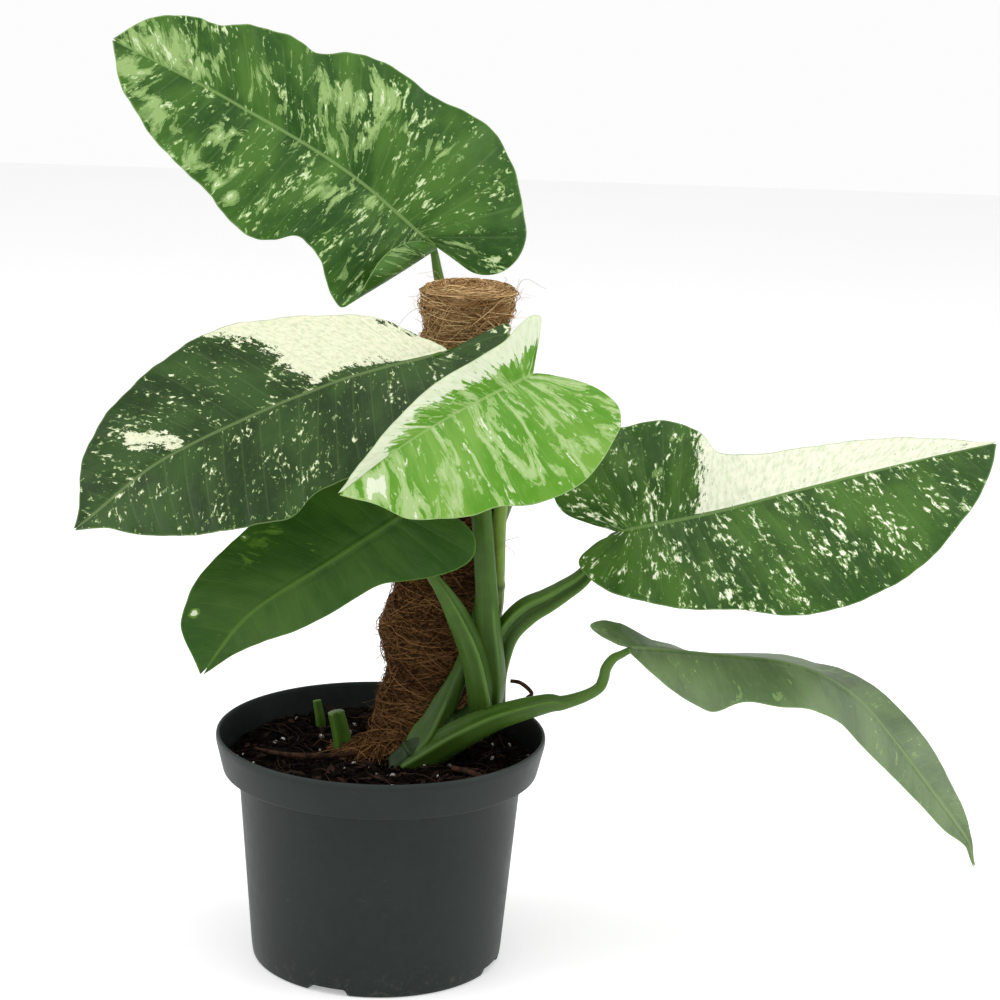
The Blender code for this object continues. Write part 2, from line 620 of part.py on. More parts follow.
# ---------------------------------------------------------------- assembly
def build_stems():
    """Main stem, petioles cut clear of it and of each other, and the dried shoot."""
    tube("main_stem", MAIN_STEM, "stem_green", sides=14, rings=12)
    stem_cutter = make_cutter(tube("stem_cutter", MAIN_STEM, None, sides=14, rings=12, extra=GAP))
    earlier = [stem_cutter]
    for name in ("petiole_lower_right", "petiole_lower_left", "petiole_left",
                 "petiole_right", "petiole_top", "petiole_center"):
        route = PETIOLES[name]
        piece = tube(name, route, "petiole_green", rings=2 * len(route))
        for cutter in earlier:
            cut(piece, cutter)
        fat = tube(name + "_cutter", route, None, rings=2 * len(route), extra=GAP)
        earlier.append(make_cutter(fat))
    tube("dried_shoot", DRIED_SHOOT, "dry_wood", sides=6, rings=8)
    return [stem_cutter, earlier[1]]


def main():
    """Build the whole plant in its pot."""
    clear_scene()
    build_pot()
    build_pole()
    sockets = [pole_socket(), *build_stems()]
    for name, route in STUBS.items():
        tube(name, route, "petiole_green", sides=8, rings=5)
        sockets.append(make_cutter(tube(name + "_socket", route, None, sides=8, rings=5, extra=GAP)))
    build_soil(sockets)
    for name, route in SURFACE_ROOTS.items():
        tube(name, route, "dry_wood", sides=6, rings=10)
    for name, sizes in BARK_CHIPS.items():
        bark_chip(name, *sizes)
    for name, sizes in PERLITE_BEADS.items():
        perlite_bead(name, *sizes)
    for name in LEAVES:
        build_leaf(name)


main()
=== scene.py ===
"""Fine surfaces and finishes of a variegated philodendron in its nursery pot.

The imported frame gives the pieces' places in metres, +Z up, with the origin at the centre of the
pot's base and the front at -Y. Design sizes here are in millimetres; MM turns them into metres.
Every new piece is a numpy grid surface that stands for one node, or for one kind of small node.
"""
import logging
import math
from dataclasses import dataclass, field
from enum import Enum
from typing import Optional, Sequence, Union

import bpy
import numpy as np
from mathutils import Matrix


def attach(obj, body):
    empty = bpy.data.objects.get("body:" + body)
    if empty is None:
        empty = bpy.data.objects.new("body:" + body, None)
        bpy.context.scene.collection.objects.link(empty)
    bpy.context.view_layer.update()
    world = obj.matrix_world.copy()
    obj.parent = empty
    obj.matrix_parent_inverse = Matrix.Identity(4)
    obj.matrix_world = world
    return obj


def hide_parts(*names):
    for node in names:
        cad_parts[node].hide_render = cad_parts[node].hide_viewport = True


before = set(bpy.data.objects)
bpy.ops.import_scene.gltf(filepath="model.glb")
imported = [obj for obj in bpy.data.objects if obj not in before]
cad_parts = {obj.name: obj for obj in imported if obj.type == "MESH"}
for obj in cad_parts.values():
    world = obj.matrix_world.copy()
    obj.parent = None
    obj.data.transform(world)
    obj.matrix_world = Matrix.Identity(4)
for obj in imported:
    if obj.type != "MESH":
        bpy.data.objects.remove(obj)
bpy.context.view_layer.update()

LOG = logging.getLogger("potted_plant")
MM = 0.001
BODY = "root"

Array = np.ndarray
Point = tuple[float, float, float]
Colour = tuple[float, float, float]
Socket = bpy.types.NodeSocket


class Side(Enum):
    """Which half of a leaf blade: A lies along tangent x facing, B on the other side."""

    A = "a"
    B = "b"


class Slot(Enum):
    """Material slots of the record, one given with each piece."""

    POT = "pot_plastic"
    SOIL = "potting_mix"
    COIR = "coir"
    STEM = "stem"
    PETIOLE = "petiole"
    MARBLED = "leaf_marbled"
    CREAM_HALF = "leaf_cream_half"
    PALE = "leaf_pale"
    DARK = "leaf_dark"
    GLOSSY = "leaf_glossy"
    ROOT = "dry_root"
    BARK = "bark"
    PERLITE = "perlite"


# ---------------------------------------------------------------- numbers and curves
def unit(vectors: Array) -> Array:
    """Scale vectors to length one."""
    return vectors / np.maximum(np.linalg.norm(vectors, axis=-1, keepdims=True), 1e-12)


def ease(value: Array, low: float, high: float) -> Array:
    """Smooth step from 0 at low to 1 at high: 3t^2 - 2t^3."""
    part = np.clip((value - low) / (high - low), 0, 1)
    return part * part * (3 - 2 * part)


def bell(value: Array, middle: float, width: float) -> Array:
    """Bump exp(-((value - middle) / width)^2), 1 at the middle."""
    return np.exp(-(((value - middle) / width) ** 2))


def catmull_rom(points: Sequence, samples: int) -> Array:
    """Smooth curve through the points, at evenly spaced parameters.

    Args:
        points: rows of coordinates, or of coordinates and a radius.
        samples: how many rows come back.

    Returns:
        The sampled rows: on each span the uniform Catmull-Rom cubic of its four neighbours.
    """
    rows = np.asarray(points, dtype=float)
    padded = np.vstack([2 * rows[0] - rows[1], rows, 2 * rows[-1] - rows[-2]])
    position = np.linspace(0, len(rows) - 1, samples)
    start = np.minimum(position.astype(int), len(rows) - 2)
    t = (position - start)[:, None]
    p0, p1, p2, p3 = (padded[start + k] for k in range(4))
    cubic = (2 * p1) + (p2 - p0) * t + (2 * p0 - 5 * p1 + 4 * p2 - p3) * t**2
    return 0.5 * (cubic + (3 * p1 - p0 - 3 * p2 + p3) * t**3)


def hashed(cells: Array, seed: int) -> Array:
    """Repeatable values 0..1 for whole-number cells, from multiplied and mixed indices."""
    mixed = (cells * (374761393, 668265263, 1274126177)).sum(-1) + seed * 974711
    mixed &= 0xFFFFFFFF
    for shift, factor in ((13, 1103515245), (16, 2246822519)):
        mixed = ((mixed ^ (mixed >> shift)) * factor) & 0xFFFFFFFF
    return ((mixed ^ (mixed >> 15)) & 0xFFFFFF) / 0xFFFFFF


def lumps(points: Array, size: float, seed: int, octaves: int = 3) -> Array:
    """Smooth value noise about 0, within -1..1.

    Each octave blends the hashed values at the eight corners of a point's cell by eased shares;
    the next octave has half the cell and half the height.

    Args:
        points: places (..., 3) in the same unit as size.
        size: edge of the largest cells.
        seed: picks the pattern.
        octaves: how many layers are added.

    Returns:
        One value for each point.
    """
    total = np.zeros(points.shape[:-1])
    for octave in range(octaves):
        at = points / size * 2**octave + 31.7 + 7.3 * octave
        low = np.floor(at).astype(np.int64)
        part = at - low
        part = part * part * (3 - 2 * part)
        for corner in np.ndindex(2, 2, 2):
            share = np.where(corner, part, 1 - part).prod(-1)
            total += (2 * hashed(low + corner, seed + octave) - 1) * share / 2**octave
    return total / (2 - 2.0 ** (1 - octaves))


def carried_frames(path: Array, first: Point = (0.31, 0.87, 0.39)) -> tuple[Array, Array]:
    """Unit vectors square to a path, carried along it without twist.

    Args:
        path: points (n, 3).
        first: rough direction that the first vector leans to.

    Returns:
        side and other, with other = tangent x side.
    """
    tangents = unit(np.gradient(path, axis=0))
    side = np.asarray(first, dtype=float)
    sides = []
    for tangent in tangents:
        side = unit(side - np.dot(side, tangent) * tangent)
        sides.append(side)
    return np.array(sides), np.cross(tangents, np.array(sides))


# ---------------------------------------------------------------- meshes
def grid_quads(rows: int, columns: int, wrap: bool) -> Array:
    """Corner indices of a grid's quads: (i, j), (i, j+1), (i+1, j+1), (i+1, j)."""
    i, j = np.meshgrid(np.arange(rows - 1), np.arange(columns if wrap else columns - 1), indexing="ij")
    right = (j + 1) % columns
    quads = [i * columns + j, i * columns + right, (i + 1) * columns + right, (i + 1) * columns + j]
    return np.stack(quads, -1).reshape(-1, 4)


def linked(name: str, data: bpy.types.ID) -> bpy.types.Object:
    """A new object for the data, put into the scene."""
    made = bpy.data.objects.new(name, data)
    bpy.context.scene.collection.objects.link(made)
    return made


def pose(right: Array, up: Array, back: Array, place: Sequence[float]) -> Matrix:
    """The matrix of a camera or light from its own axes and its place."""
    columns = np.eye(4)
    columns[:3] = np.stack([right, up, back, place], axis=1)
    return Matrix(columns.tolist())


@dataclass
class Surface:
    """Points in millimetres with their quads and triangles, and values carried on the points."""

    points: Array
    quads: Array
    triangles: Array = field(default_factory=lambda: np.zeros((0, 3), int))
    values: dict[str, Array] = field(default_factory=dict)

    @classmethod
    def lofted(cls, rings: Array, values: Optional[dict[str, Array]] = None) -> "Surface":
        """Closed body through equal rings, with a fan cap at both ends.

        Args:
            rings: points (n, k, 3), each ring running anticlockwise about the path.
            values: per-point numbers (n, k) or (n, k, 3).

        Returns:
            The closed surface; a cap's middle takes the mean of its ring.
        """
        count, sides = rings.shape[:2]

        def with_caps(data: Array) -> Array:
            """The rings' rows, then the means of the first and the last ring."""
            flat = data.reshape((count * sides,) + data.shape[2:])
            return np.concatenate([flat, data[:1].mean(1), data[-1:].mean(1)])

        here = np.arange(sides)
        following = (here + 1) % sides
        top = (count - 1) * sides
        first = np.stack([np.full(sides, count * sides), following, here], -1)
        last = np.stack([np.full(sides, count * sides + 1), top + here, top + following], -1)
        carried = {name: with_caps(data) for name, data in (values or {}).items()}
        return cls(with_caps(rings), grid_quads(count, sides, True), np.vstack([first, last]), carried)

    @classmethod
    def copies(cls, points: Array, quads: Array, triangles: Array, values: dict[str, Array]) -> "Surface":
        """Many bodies with the same faces: points (n, k, 3), values (n, k) or (n, k, 3)."""
        count, size = points.shape[:2]
        step = (np.arange(count) * size)[:, None, None]
        flat = {name: data.reshape((-1,) + data.shape[2:]) for name, data in values.items()}
        return cls(points.reshape(-1, 3), (quads[None] + step).reshape(-1, 4),
                   (triangles[None] + step).reshape(-1, 3), flat)

    def piece(self, name: str, look: bpy.types.Material, slot: Slot, stands_for: Sequence[str] = (),
              sharp: Optional[float] = None) -> bpy.types.Object:
        """Put the surface into a mesh object that rides with the plant.

        Args:
            name: the piece's name.
            look: its material.
            slot: the record's slot; not used.
            stands_for: CAD nodes that this piece is shown instead of.
            sharp: edge angle in degrees above which edges stay sharp; 0 is flat shading.

        Returns:
            The new object, at the origin.
        """
        mesh = bpy.data.meshes.new(name)
        mesh.vertices.add(len(self.points))
        mesh.vertices.foreach_set("co", (self.points * MM).astype(np.float32).ravel())
        corners = np.concatenate([self.quads.ravel(), self.triangles.ravel()]).astype(np.int32)
        starts = np.concatenate([np.arange(len(self.quads)) * 4,
                                 len(self.quads) * 4 + np.arange(len(self.triangles)) * 3])
        mesh.loops.add(len(corners))
        mesh.loops.foreach_set("vertex_index", corners)
        mesh.polygons.add(len(starts))
        mesh.polygons.foreach_set("loop_start", starts.astype(np.int32))
        for label, data in self.values.items():
            kind, key = ("FLOAT_VECTOR", "vector") if data.ndim == 2 else ("FLOAT", "value")
            mesh.attributes.new(label, kind, "POINT").data.foreach_set(key, data.astype(np.float32).ravel())
        mesh.update(calc_edges=True)
        mesh.validate()
        if sharp == 0:
            mesh.shade_flat()
        else:
            mesh.shade_smooth()
            if sharp:
                mesh.set_sharp_from_angle(angle=math.radians(sharp))
        mesh.materials.append(look)
        made = linked(name, mesh)
        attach(made, BODY)
        if stands_for:
            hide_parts(*stands_for)
        LOG.info("%s: %d faces", name, len(starts))
        return made


def strands(paths: Array, radii: Array, shade: Array, seed: int) -> Surface:
    """Thin three-sided fibres along many paths.

    Each fibre's section is a triangle square to its path: side and other turn with the tangent
    about one random helper direction for the fibre.

    Args:
        paths: (n, m, 3) points.
        radii: (n, m) radii.
        shade: (n,) random tone, carried as the value "shade".
        seed: picks the helper directions.

    Returns:
        One surface with all fibres, each closed at both ends.
    """
    count, steps = paths.shape[:2]
    helper = unit(np.random.default_rng(seed).normal(size=(count, 1, 3)))
    tangent = unit(np.gradient(paths, axis=1))
    side = unit(np.cross(tangent, helper))
    other = np.cross(tangent, side)
    turn = np.arange(3) * 2 * math.pi / 3
    ring = side[:, :, None] * np.cos(turn)[:, None] + other[:, :, None] * np.sin(turn)[:, None]
    points = (paths[:, :, None] + ring * radii[:, :, None, None]).reshape(count, steps * 3, 3)
    last = (steps - 1) * 3
    caps = np.array([(0, 2, 1), (last, last + 1, last + 2)])
    tone = np.repeat(shade[:, None], steps * 3, axis=1)
    return Surface.copies(points, grid_quads(steps, 3, True), caps, {"shade": tone})


def pebbles(centres: Array, sizes: Array, turns: Array, roughness: float, seed: int) -> Surface:
    """Many small irregular bodies of 48 triangles.

    A unit ball of four latitude rings and two poles, each point moved in or out by a random
    share, stretched by its sizes, turned about X, Y and Z, and set at its centre.

    Args:
        centres: (n, 3) places.
        sizes: (n, 3) half lengths.
        turns: (n, 3) angles in radians.
        roughness: largest share that a point moves in or out.
        seed: picks the irregularity.

    Returns:
        One surface with all bodies and a random "shade" for each.
    """
    rng = np.random.default_rng(seed)
    rings, sides = 4, 6
    tilt = np.linspace(-1, 1, rings + 2)[1:-1] * math.pi / 2
    around = np.arange(sides) * 2 * math.pi / sides
    ball = np.stack([np.outer(np.cos(tilt), np.cos(around)), np.outer(np.cos(tilt), np.sin(around)),
                     np.outer(np.sin(tilt), np.ones(sides))], -1)
    unit_body = Surface.lofted(ball)
    form = unit_body.points.copy()
    form[-2:] = [(0, 0, -1), (0, 0, 1)]
    count = len(centres)
    points = form[None] * (1 + roughness * rng.uniform(-1, 1, (count, len(form), 1))) * sizes[:, None]
    for axis in range(3):
        c, s = np.cos(turns[:, axis])[:, None], np.sin(turns[:, axis])[:, None]
        first, second = (axis + 1) % 3, (axis + 2) % 3
        moved = points.copy()
        moved[..., first] = c * points[..., first] - s * points[..., second]
        moved[..., second] = s * points[..., first] + c * points[..., second]
        points = moved
    points += centres[:, None]
    shade = np.repeat(rng.uniform(0, 1, (count, 1)), len(form), axis=1)
    return Surface.copies(points, unit_body.quads, unit_body.triangles, {"shade": shade})


# ---------------------------------------------------------------- shader nodes
Value = Union[float, Socket]


class NodeKit:
    """Short calls that add nodes to one shader tree and join them."""

    def __init__(self, tree: bpy.types.NodeTree) -> None:
        """Start with the tree that the nodes go into."""
        self.tree = tree

    def put(self, kind: str, inputs: Optional[dict] = None, **settings: object) -> bpy.types.Node:
        """Add a node, set its properties and feed its inputs by name or number."""
        node = self.tree.nodes.new(kind)
        for key, value in settings.items():
            setattr(node, key, value)
        for key, value in (inputs or {}).items():
            self.feed(node.inputs[key], value)
        return node

    def feed(self, socket: Socket, value: object) -> None:
        """Join a socket to an output, or set its own value; a colour gets its alpha."""
        if isinstance(value, bpy.types.NodeSocket):
            self.tree.links.new(value, socket)
        elif socket.type == "RGBA":
            socket.default_value = (*value, 1.0)
        else:
            socket.default_value = value

    def math(self, operation: str, a: Value, b: Value = 0.0) -> Socket:
        """Result of a Math node."""
        return self.put("ShaderNodeMath", {0: a, 1: b}, operation=operation).outputs[0]

    def add_scaled(self, base: Value, value: Value, factor: float, offset: float = 0.0) -> Socket:
        """base + (value + offset) * factor."""
        return self.math("ADD", base, self.math("MULTIPLY", self.math("ADD", value, offset), factor))

    def step(self, value: Value, low: Value, high: Value) -> Socket:
        """0 below low, 1 above high, eased between; falling where low is above high."""
        inputs = {"Value": value, "From Min": low, "From Max": high}
        return self.put("ShaderNodeMapRange", inputs, interpolation_type="SMOOTHSTEP").outputs[0]

    def mix(self, share: Value, a: object, b: object) -> Socket:
        """Colour a turned into colour b by the share."""
        return self.put("ShaderNodeMix", {0: share, 6: a, 7: b}, data_type="RGBA").outputs[2]

    def tint(self, colour: object, mask: Value, strength: float, other: object) -> Socket:
        """Colour turned towards another where the mask is high, at most by the strength."""
        return self.mix(self.math("MULTIPLY", mask, strength), colour, other)

    def vector(self, x: Value, y: Value, z: Value) -> Socket:
        """A vector of three values."""
        return self.put("ShaderNodeCombineXYZ", {0: x, 1: y, 2: z}).outputs[0]

    def parts(self, vector: Socket) -> tuple[Socket, Socket, Socket]:
        """The three parts of a vector."""
        split = self.put("ShaderNodeSeparateXYZ", {0: vector})
        return split.outputs[0], split.outputs[1], split.outputs[2]

    def noise(self, vector: Socket, scale: float, detail: float = 4.0, rough: float = 0.55,
              distortion: float = 0.0) -> Socket:
        """Perlin noise, about 0.5."""
        inputs = {"Vector": vector, "Scale": scale, "Detail": detail, "Roughness": rough,
                  "Distortion": distortion}
        return self.put("ShaderNodeTexNoise", inputs).outputs[0]

    def stored(self, name: str, kind: str = "Vector") -> Socket:
        """A value carried on the piece's points."""
        return self.put("ShaderNodeAttribute", attribute_name=name).outputs[kind]

    def place(self) -> Socket:
        """Object coordinates, in metres."""
        return self.put("ShaderNodeTexCoord").outputs["Object"]


def node_group(name: str, inputs: dict[str, str],
               outputs: dict[str, str]) -> tuple[bpy.types.NodeTree, dict, dict]:
    """Start a shader group.

    Args:
        name: its name.
        inputs: socket types by socket name.
        outputs: socket types by socket name.

    Returns:
        The tree, its inputs as sockets to read, and its outputs as sockets to feed.
    """
    tree = bpy.data.node_groups.new(name, "ShaderNodeTree")
    for direction, sockets in (("INPUT", inputs), ("OUTPUT", outputs)):
        for label, kind in sockets.items():
            tree.interface.new_socket(label, in_out=direction, socket_type="NodeSocket" + kind)
    entry, leave = tree.nodes.new("NodeGroupInput"), tree.nodes.new("NodeGroupOutput")
    return tree, {k: entry.outputs[k] for k in inputs}, {k: leave.inputs[k] for k in outputs}


def new_material(name: str, **constants: object) -> tuple[bpy.types.Material, NodeKit, bpy.types.Node]:
    """A Principled material with its plain values set on the shader's own sockets."""
    made = bpy.data.materials.new(name)
    made.use_nodes = True
    shader = made.node_tree.nodes["Principled BSDF"]
    for label, value in constants.items():
        shader.inputs[label.replace("_", " ")].default_value = value
    return made, NodeKit(made.node_tree), shader


# ---------------------------------------------------------------- shared surface effects
def leaf_pattern_group() -> bpy.types.NodeTree:
    """Colours of a variegated blade, following its veins.

    "Vein" is (distance across the veins, distance along them, underside) in cm and "Tone" is
    (depth inside a cream sector in mm, pale patch share, distance from the margin in mm). Noise
    on the vein distances is cut at levels to give jagged patches, specks and streaks.
    """
    tree, given, out = node_group(
        "leaf_pattern",
        {"Vein": "Vector", "Tone": "Vector", "Deep": "Color", "Mid": "Color", "Pale": "Color",
         "Cream": "Color", "Under": "Color", "Patch Level": "Float", "Speck Level": "Float",
         "Fleck Level": "Float", "Stretch": "Float", "Seed": "Float", "Vein Gap": "Float"},
        {"Color": "Color", "Height": "Float", "Roughness": "Float"})
    kit = NodeKit(tree)
    across, along, under = kit.parts(given["Vein"])
    cream_depth, pale_share, margin = kit.parts(given["Tone"])
    drawn = kit.math("DIVIDE", along, given["Stretch"])

    def noise_at(scale: float, turn: float, detail: float, rough: float, bend: float = 0.0) -> Socket:
        """Noise stretched along the veins; turn picks another layer of it."""
        layer = kit.math("ADD", given["Seed"], turn)
        return kit.noise(kit.vector(across, drawn, layer), scale, detail, rough, bend)

    def over(value: Socket, level: str, rise: float, width: float) -> Socket:
        """1 where a value passes the named level plus a rise, eased over the width."""
        start = kit.math("ADD", given[level], rise)
        return kit.step(value, start, kit.math("ADD", start, width))

    broad = noise_at(0.55, 0.0, 3.0, 0.5)
    jagged = noise_at(7.0, 9.1, 3.0, 0.7)
    colour = kit.mix(kit.step(broad, 0.36, 0.66), given["Deep"], given["Mid"])
    streak = noise_at(5.0, 2.3, 4.0, 0.6)
    colour = kit.tint(colour, kit.step(streak, 0.45, 0.75), 0.45, given["Mid"])

    patches = kit.add_scaled(noise_at(1.25, 4.7, 7.0, 0.62, 1.1), pale_share, 0.24)
    patches = kit.add_scaled(patches, jagged, 0.16, -0.5)
    half_tone = kit.mix(0.5, given["Mid"], given["Pale"])
    colour = kit.mix(over(patches, "Patch Level", 0.0, 0.018), colour, half_tone)
    colour = kit.mix(over(patches, "Patch Level", 0.06, 0.02), colour, given["Pale"])
    colour = kit.mix(over(patches, "Patch Level", 0.17, 0.02), colour, given["Cream"])

    clusters = noise_at(0.9, 6.1, 3.0, 0.5)
    specks = kit.add_scaled(noise_at(4.6, 7.7, 5.0, 0.62, 0.4), clusters, 0.5, -0.5)
    colour = kit.mix(over(specks, "Speck Level", 0.0, 0.03), colour, given["Pale"])
    colour = kit.mix(over(specks, "Speck Level", 0.05, 0.03), colour, given["Cream"])
    flecks = noise_at(8.5, 12.9, 4.0, 0.6, 0.3)
    colour = kit.mix(over(flecks, "Fleck Level", 0.0, 0.03), colour, given["Deep"])

    rim_noise = kit.add_scaled(noise_at(2.6, 15.3, 8.0, 0.72), jagged, 0.25, -0.5)
    near_rib = kit.step(kit.math("ABSOLUTE", along), 0.05, 0.6)
    ragged = kit.math("MULTIPLY", near_rib, 26.0)
    shift = kit.math("MULTIPLY", kit.math("SUBTRACT", rim_noise, 0.5), ragged)
    depth = kit.math("ADD", cream_depth, shift)
    cream_mask = kit.step(depth, -0.35, 0.35)
    washed = kit.tint(given["Cream"], kit.step(streak, 0.42, 0.68), 0.30, given["Pale"])
    island = kit.math("MULTIPLY", kit.step(flecks, 0.66, 0.69), kit.step(cream_depth, 16.0, 2.0))
    washed = kit.tint(washed, island, 0.8, given["Mid"])
    colour = kit.mix(cream_mask, colour, washed)

    cycle = kit.math("FRACT", kit.math("ADD", kit.math("DIVIDE", across, given["Vein Gap"]), 0.5))
    off_cycle = kit.math("ABSOLUTE", kit.math("SUBTRACT", cycle, 0.5))
    from_vein = kit.math("MULTIPLY", off_cycle, given["Vein Gap"])
    main_vein = kit.math("MULTIPLY", kit.step(from_vein, 0.075, 0.0), kit.step(margin, 1.0, 9.0))
    colour = kit.tint(colour, main_vein, 0.10, given["Pale"])
    rib = kit.step(kit.math("ABSOLUTE", along), 0.115, 0.045)
    rib_colour = kit.mix(0.55, given["Mid"], given["Pale"])
    colour = kit.tint(colour, rib, 0.75, rib_colour)
    colour = kit.tint(colour, kit.step(margin, 0.75, 0.15), 0.55, given["Pale"])
    below = kit.mix(0.72, colour, given["Under"])
    kit.feed(out["Color"], kit.mix(kit.step(under, 0.45, 0.55), colour, below))

    fine_cycle = kit.math("SINE", kit.math("MULTIPLY", across, 2 * math.pi / 0.16))
    grain = kit.noise(given["Vein"], 22.0, 3.0, 0.6)
    height = kit.add_scaled(kit.math("MULTIPLY", grain, 0.5), fine_cycle, 0.10)
    kit.feed(out["Height"], kit.add_scaled(height, streak, 0.8))
    gloss = kit.add_scaled(kit.math("MULTIPLY", grain, 0.16), broad, 0.18)
    gloss = kit.add_scaled(gloss, under, 0.16)
    kit.feed(out["Roughness"], kit.math("ADD", gloss, 0.24))
    return tree


def grain_group() -> bpy.types.NodeTree:
    """Two tones mottled at a coarse and a fine scale, with the matching height and mask."""
    tree, given, out = node_group(
        "two_tone_grain",
        {"Vector": "Vector", "Scale": "Float", "Dark": "Color", "Light": "Color",
         "Contrast": "Float"},
        {"Color": "Color", "Height": "Float", "Mask": "Float"})
    kit = NodeKit(tree)
    fine_scale = kit.math("MULTIPLY", given["Scale"], 6.0)
    coarse = kit.noise(given["Vector"], given["Scale"], 5.0, 0.6)
    fine = kit.noise(given["Vector"], fine_scale, 4.0, 0.65)
    both = kit.add_scaled(kit.math("MULTIPLY", coarse, 0.6), fine, 0.4)
    spread = kit.math("MULTIPLY", kit.math("SUBTRACT", both, 0.5), given["Contrast"])
    mask = kit.step(kit.math("ADD", spread, 0.5), 0.3, 0.7)
    kit.feed(out["Color"], kit.mix(mask, given["Dark"], given["Light"]))
    kit.feed(out["Height"], both)
    kit.feed(out["Mask"], mask)
    return tree


def add_bump(kit: NodeKit, shader: bpy.types.Node, height: Socket, distance: float,
             strength: float = 1.0) -> None:
    """Feed a height through a Bump node into the shader's Normal."""
    bump = kit.put("ShaderNodeBump", {"Height": height, "Distance": distance, "Strength": strength})
    kit.feed(shader.inputs["Normal"], bump.outputs[0])


@dataclass(frozen=True)
class LeafFinish:
    """Colours and pattern levels of one blade; a lower level gives more of that mark."""

    slot: Slot
    deep: Colour
    mid: Colour
    pale: Colour
    cream: Colour
    under: Colour = (0.16, 0.26, 0.11)
    patch_level: float = 0.9
    speck_level: float = 0.9
    fleck_level: float = 0.9
    stretch: float = 2.6
    seed: float = 0.0
    vein_gap: float = 0.9
    coat: float = 0.0
    specular: float = 0.20

    def material(self, name: str, pattern: bpy.types.NodeTree) -> bpy.types.Material:
        """Build the blade's material around the shared pattern."""
        made, kit, shader = new_material(name, Coat_Weight=self.coat, Coat_Roughness=0.25,
                                         Specular_IOR_Level=self.specular,
                                         Subsurface_Weight=0.12, Subsurface_Scale=0.0015,
                                         Subsurface_Radius=(0.5, 1.0, 0.25))
        feeds = {"Vein": kit.stored("vein"), "Tone": kit.stored("tone"), "Deep": self.deep,
                 "Mid": self.mid, "Pale": self.pale, "Cream": self.cream, "Under": self.under,
                 "Patch Level": self.patch_level, "Speck Level": self.speck_level,
                 "Fleck Level": self.fleck_level, "Stretch": self.stretch, "Seed": self.seed,
                 "Vein Gap": self.vein_gap}
        group = kit.put("ShaderNodeGroup", feeds, node_tree=pattern)
        kit.feed(shader.inputs["Base Color"], group.outputs["Color"])
        kit.feed(shader.inputs["Roughness"], group.outputs["Roughness"])
        add_bump(kit, shader, group.outputs["Height"], 0.00012, 0.8)
        return made


@dataclass(frozen=True)
class MottledFinish:
    """A two-tone natural or moulded surface."""

    dark: Colour
    light: Colour
    scale: float
    contrast: float = 2.0
    roughness: tuple[float, float] = (0.7, 0.95)
    bump: float = 0.0004
    vary: float = 0.0
    specular: float = 0.10

    def material(self, name: str, grain: bpy.types.NodeTree) -> bpy.types.Material:
        """Build the material; vary darkens each copy by its own stored shade."""
        made, kit, shader = new_material(name, Specular_IOR_Level=self.specular)
        feeds = {"Vector": kit.place(), "Scale": self.scale, "Dark": self.dark, "Light": self.light,
                 "Contrast": self.contrast}
        group = kit.put("ShaderNodeGroup", feeds, node_tree=grain)
        colour = group.outputs["Color"]
        if self.vary:
            share = kit.math("MULTIPLY", kit.stored("shade", "Fac"), self.vary)
            colour = kit.mix(share, colour, self.dark)
        kit.feed(shader.inputs["Base Color"], colour)
        low, high = self.roughness
        kit.feed(shader.inputs["Roughness"], kit.add_scaled(low, group.outputs["Mask"], high - low))
        add_bump(kit, shader, group.outputs["Height"], self.bump)
        return made


PEAT = MottledFinish(dark=(0.0018, 0.0013, 0.0012), light=(0.0085, 0.0058, 0.0042), scale=260.0,
                     contrast=3.0, roughness=(0.75, 0.98), bump=0.0009, specular=0.04)
CRUMB = MottledFinish(dark=(0.0016, 0.0012, 0.0010), light=(0.0150, 0.0085, 0.0055), scale=420.0,
                      contrast=3.2, bump=0.0006, vary=0.7, specular=0.04)
BARK = MottledFinish(dark=(0.008, 0.0035, 0.0025), light=(0.062, 0.028, 0.017), scale=300.0,
                     contrast=2.6, bump=0.0008, vary=0.8)
PERLITE = MottledFinish(dark=(0.34, 0.32, 0.29), light=(0.78, 0.76, 0.71), scale=700.0,
                        roughness=(0.85, 1.0), bump=0.0005, vary=0.35)
THREAD = MottledFinish(dark=(0.014, 0.007, 0.004), light=(0.090, 0.048, 0.028), scale=120.0,
                       roughness=(0.7, 0.9), bump=0.0001, vary=0.7)
DRY = MottledFinish(dark=(0.018, 0.008, 0.005), light=(0.075, 0.036, 0.020), scale=260.0,
                    contrast=2.4, roughness=(0.7, 0.9))


# ---------------------------------------------------------------- leaves
@dataclass(frozen=True)
class LeafDesign:
    """Shape of one blade.

    midrib runs from the petiole to the tip. facing is the upper face's direction at base and tip.
    lift is how far each half rises from the facing plane, as (along, degrees) pairs, and curl how
    many degrees it bends over 50 mm. fold is (along, across, its direction, radius, degrees).
    veins are (foot on the midrib, along a, across a, along b, across b) from sinus to tip.
    creams are outlines (along, across) of cream sectors; blots are pale spots (side, along,
    across, radius, share). wave is the height of the margin's ripples and relief the share of
    full vein relief.
    """

    midrib: Sequence[Point]
    facing: Sequence[Point]
    veins: Sequence[tuple[float, float, float, float, float]]
    finish: LeafFinish
    lift_a: Sequence[tuple[float, float]]
    lift_b: Sequence[tuple[float, float]]
    curl_a: float = -10.0
    curl_b: float = -10.0
    fold_b: Optional[tuple[float, float, float, float, float, float]] = None
    creams: Sequence[tuple[Side, Sequence[tuple[float, float]]]] = ()
    blots: Sequence[tuple[Side, float, float, float, float]] = ()
    wave: float = 0.7
    relief: float = 0.45
    seed: int = 1


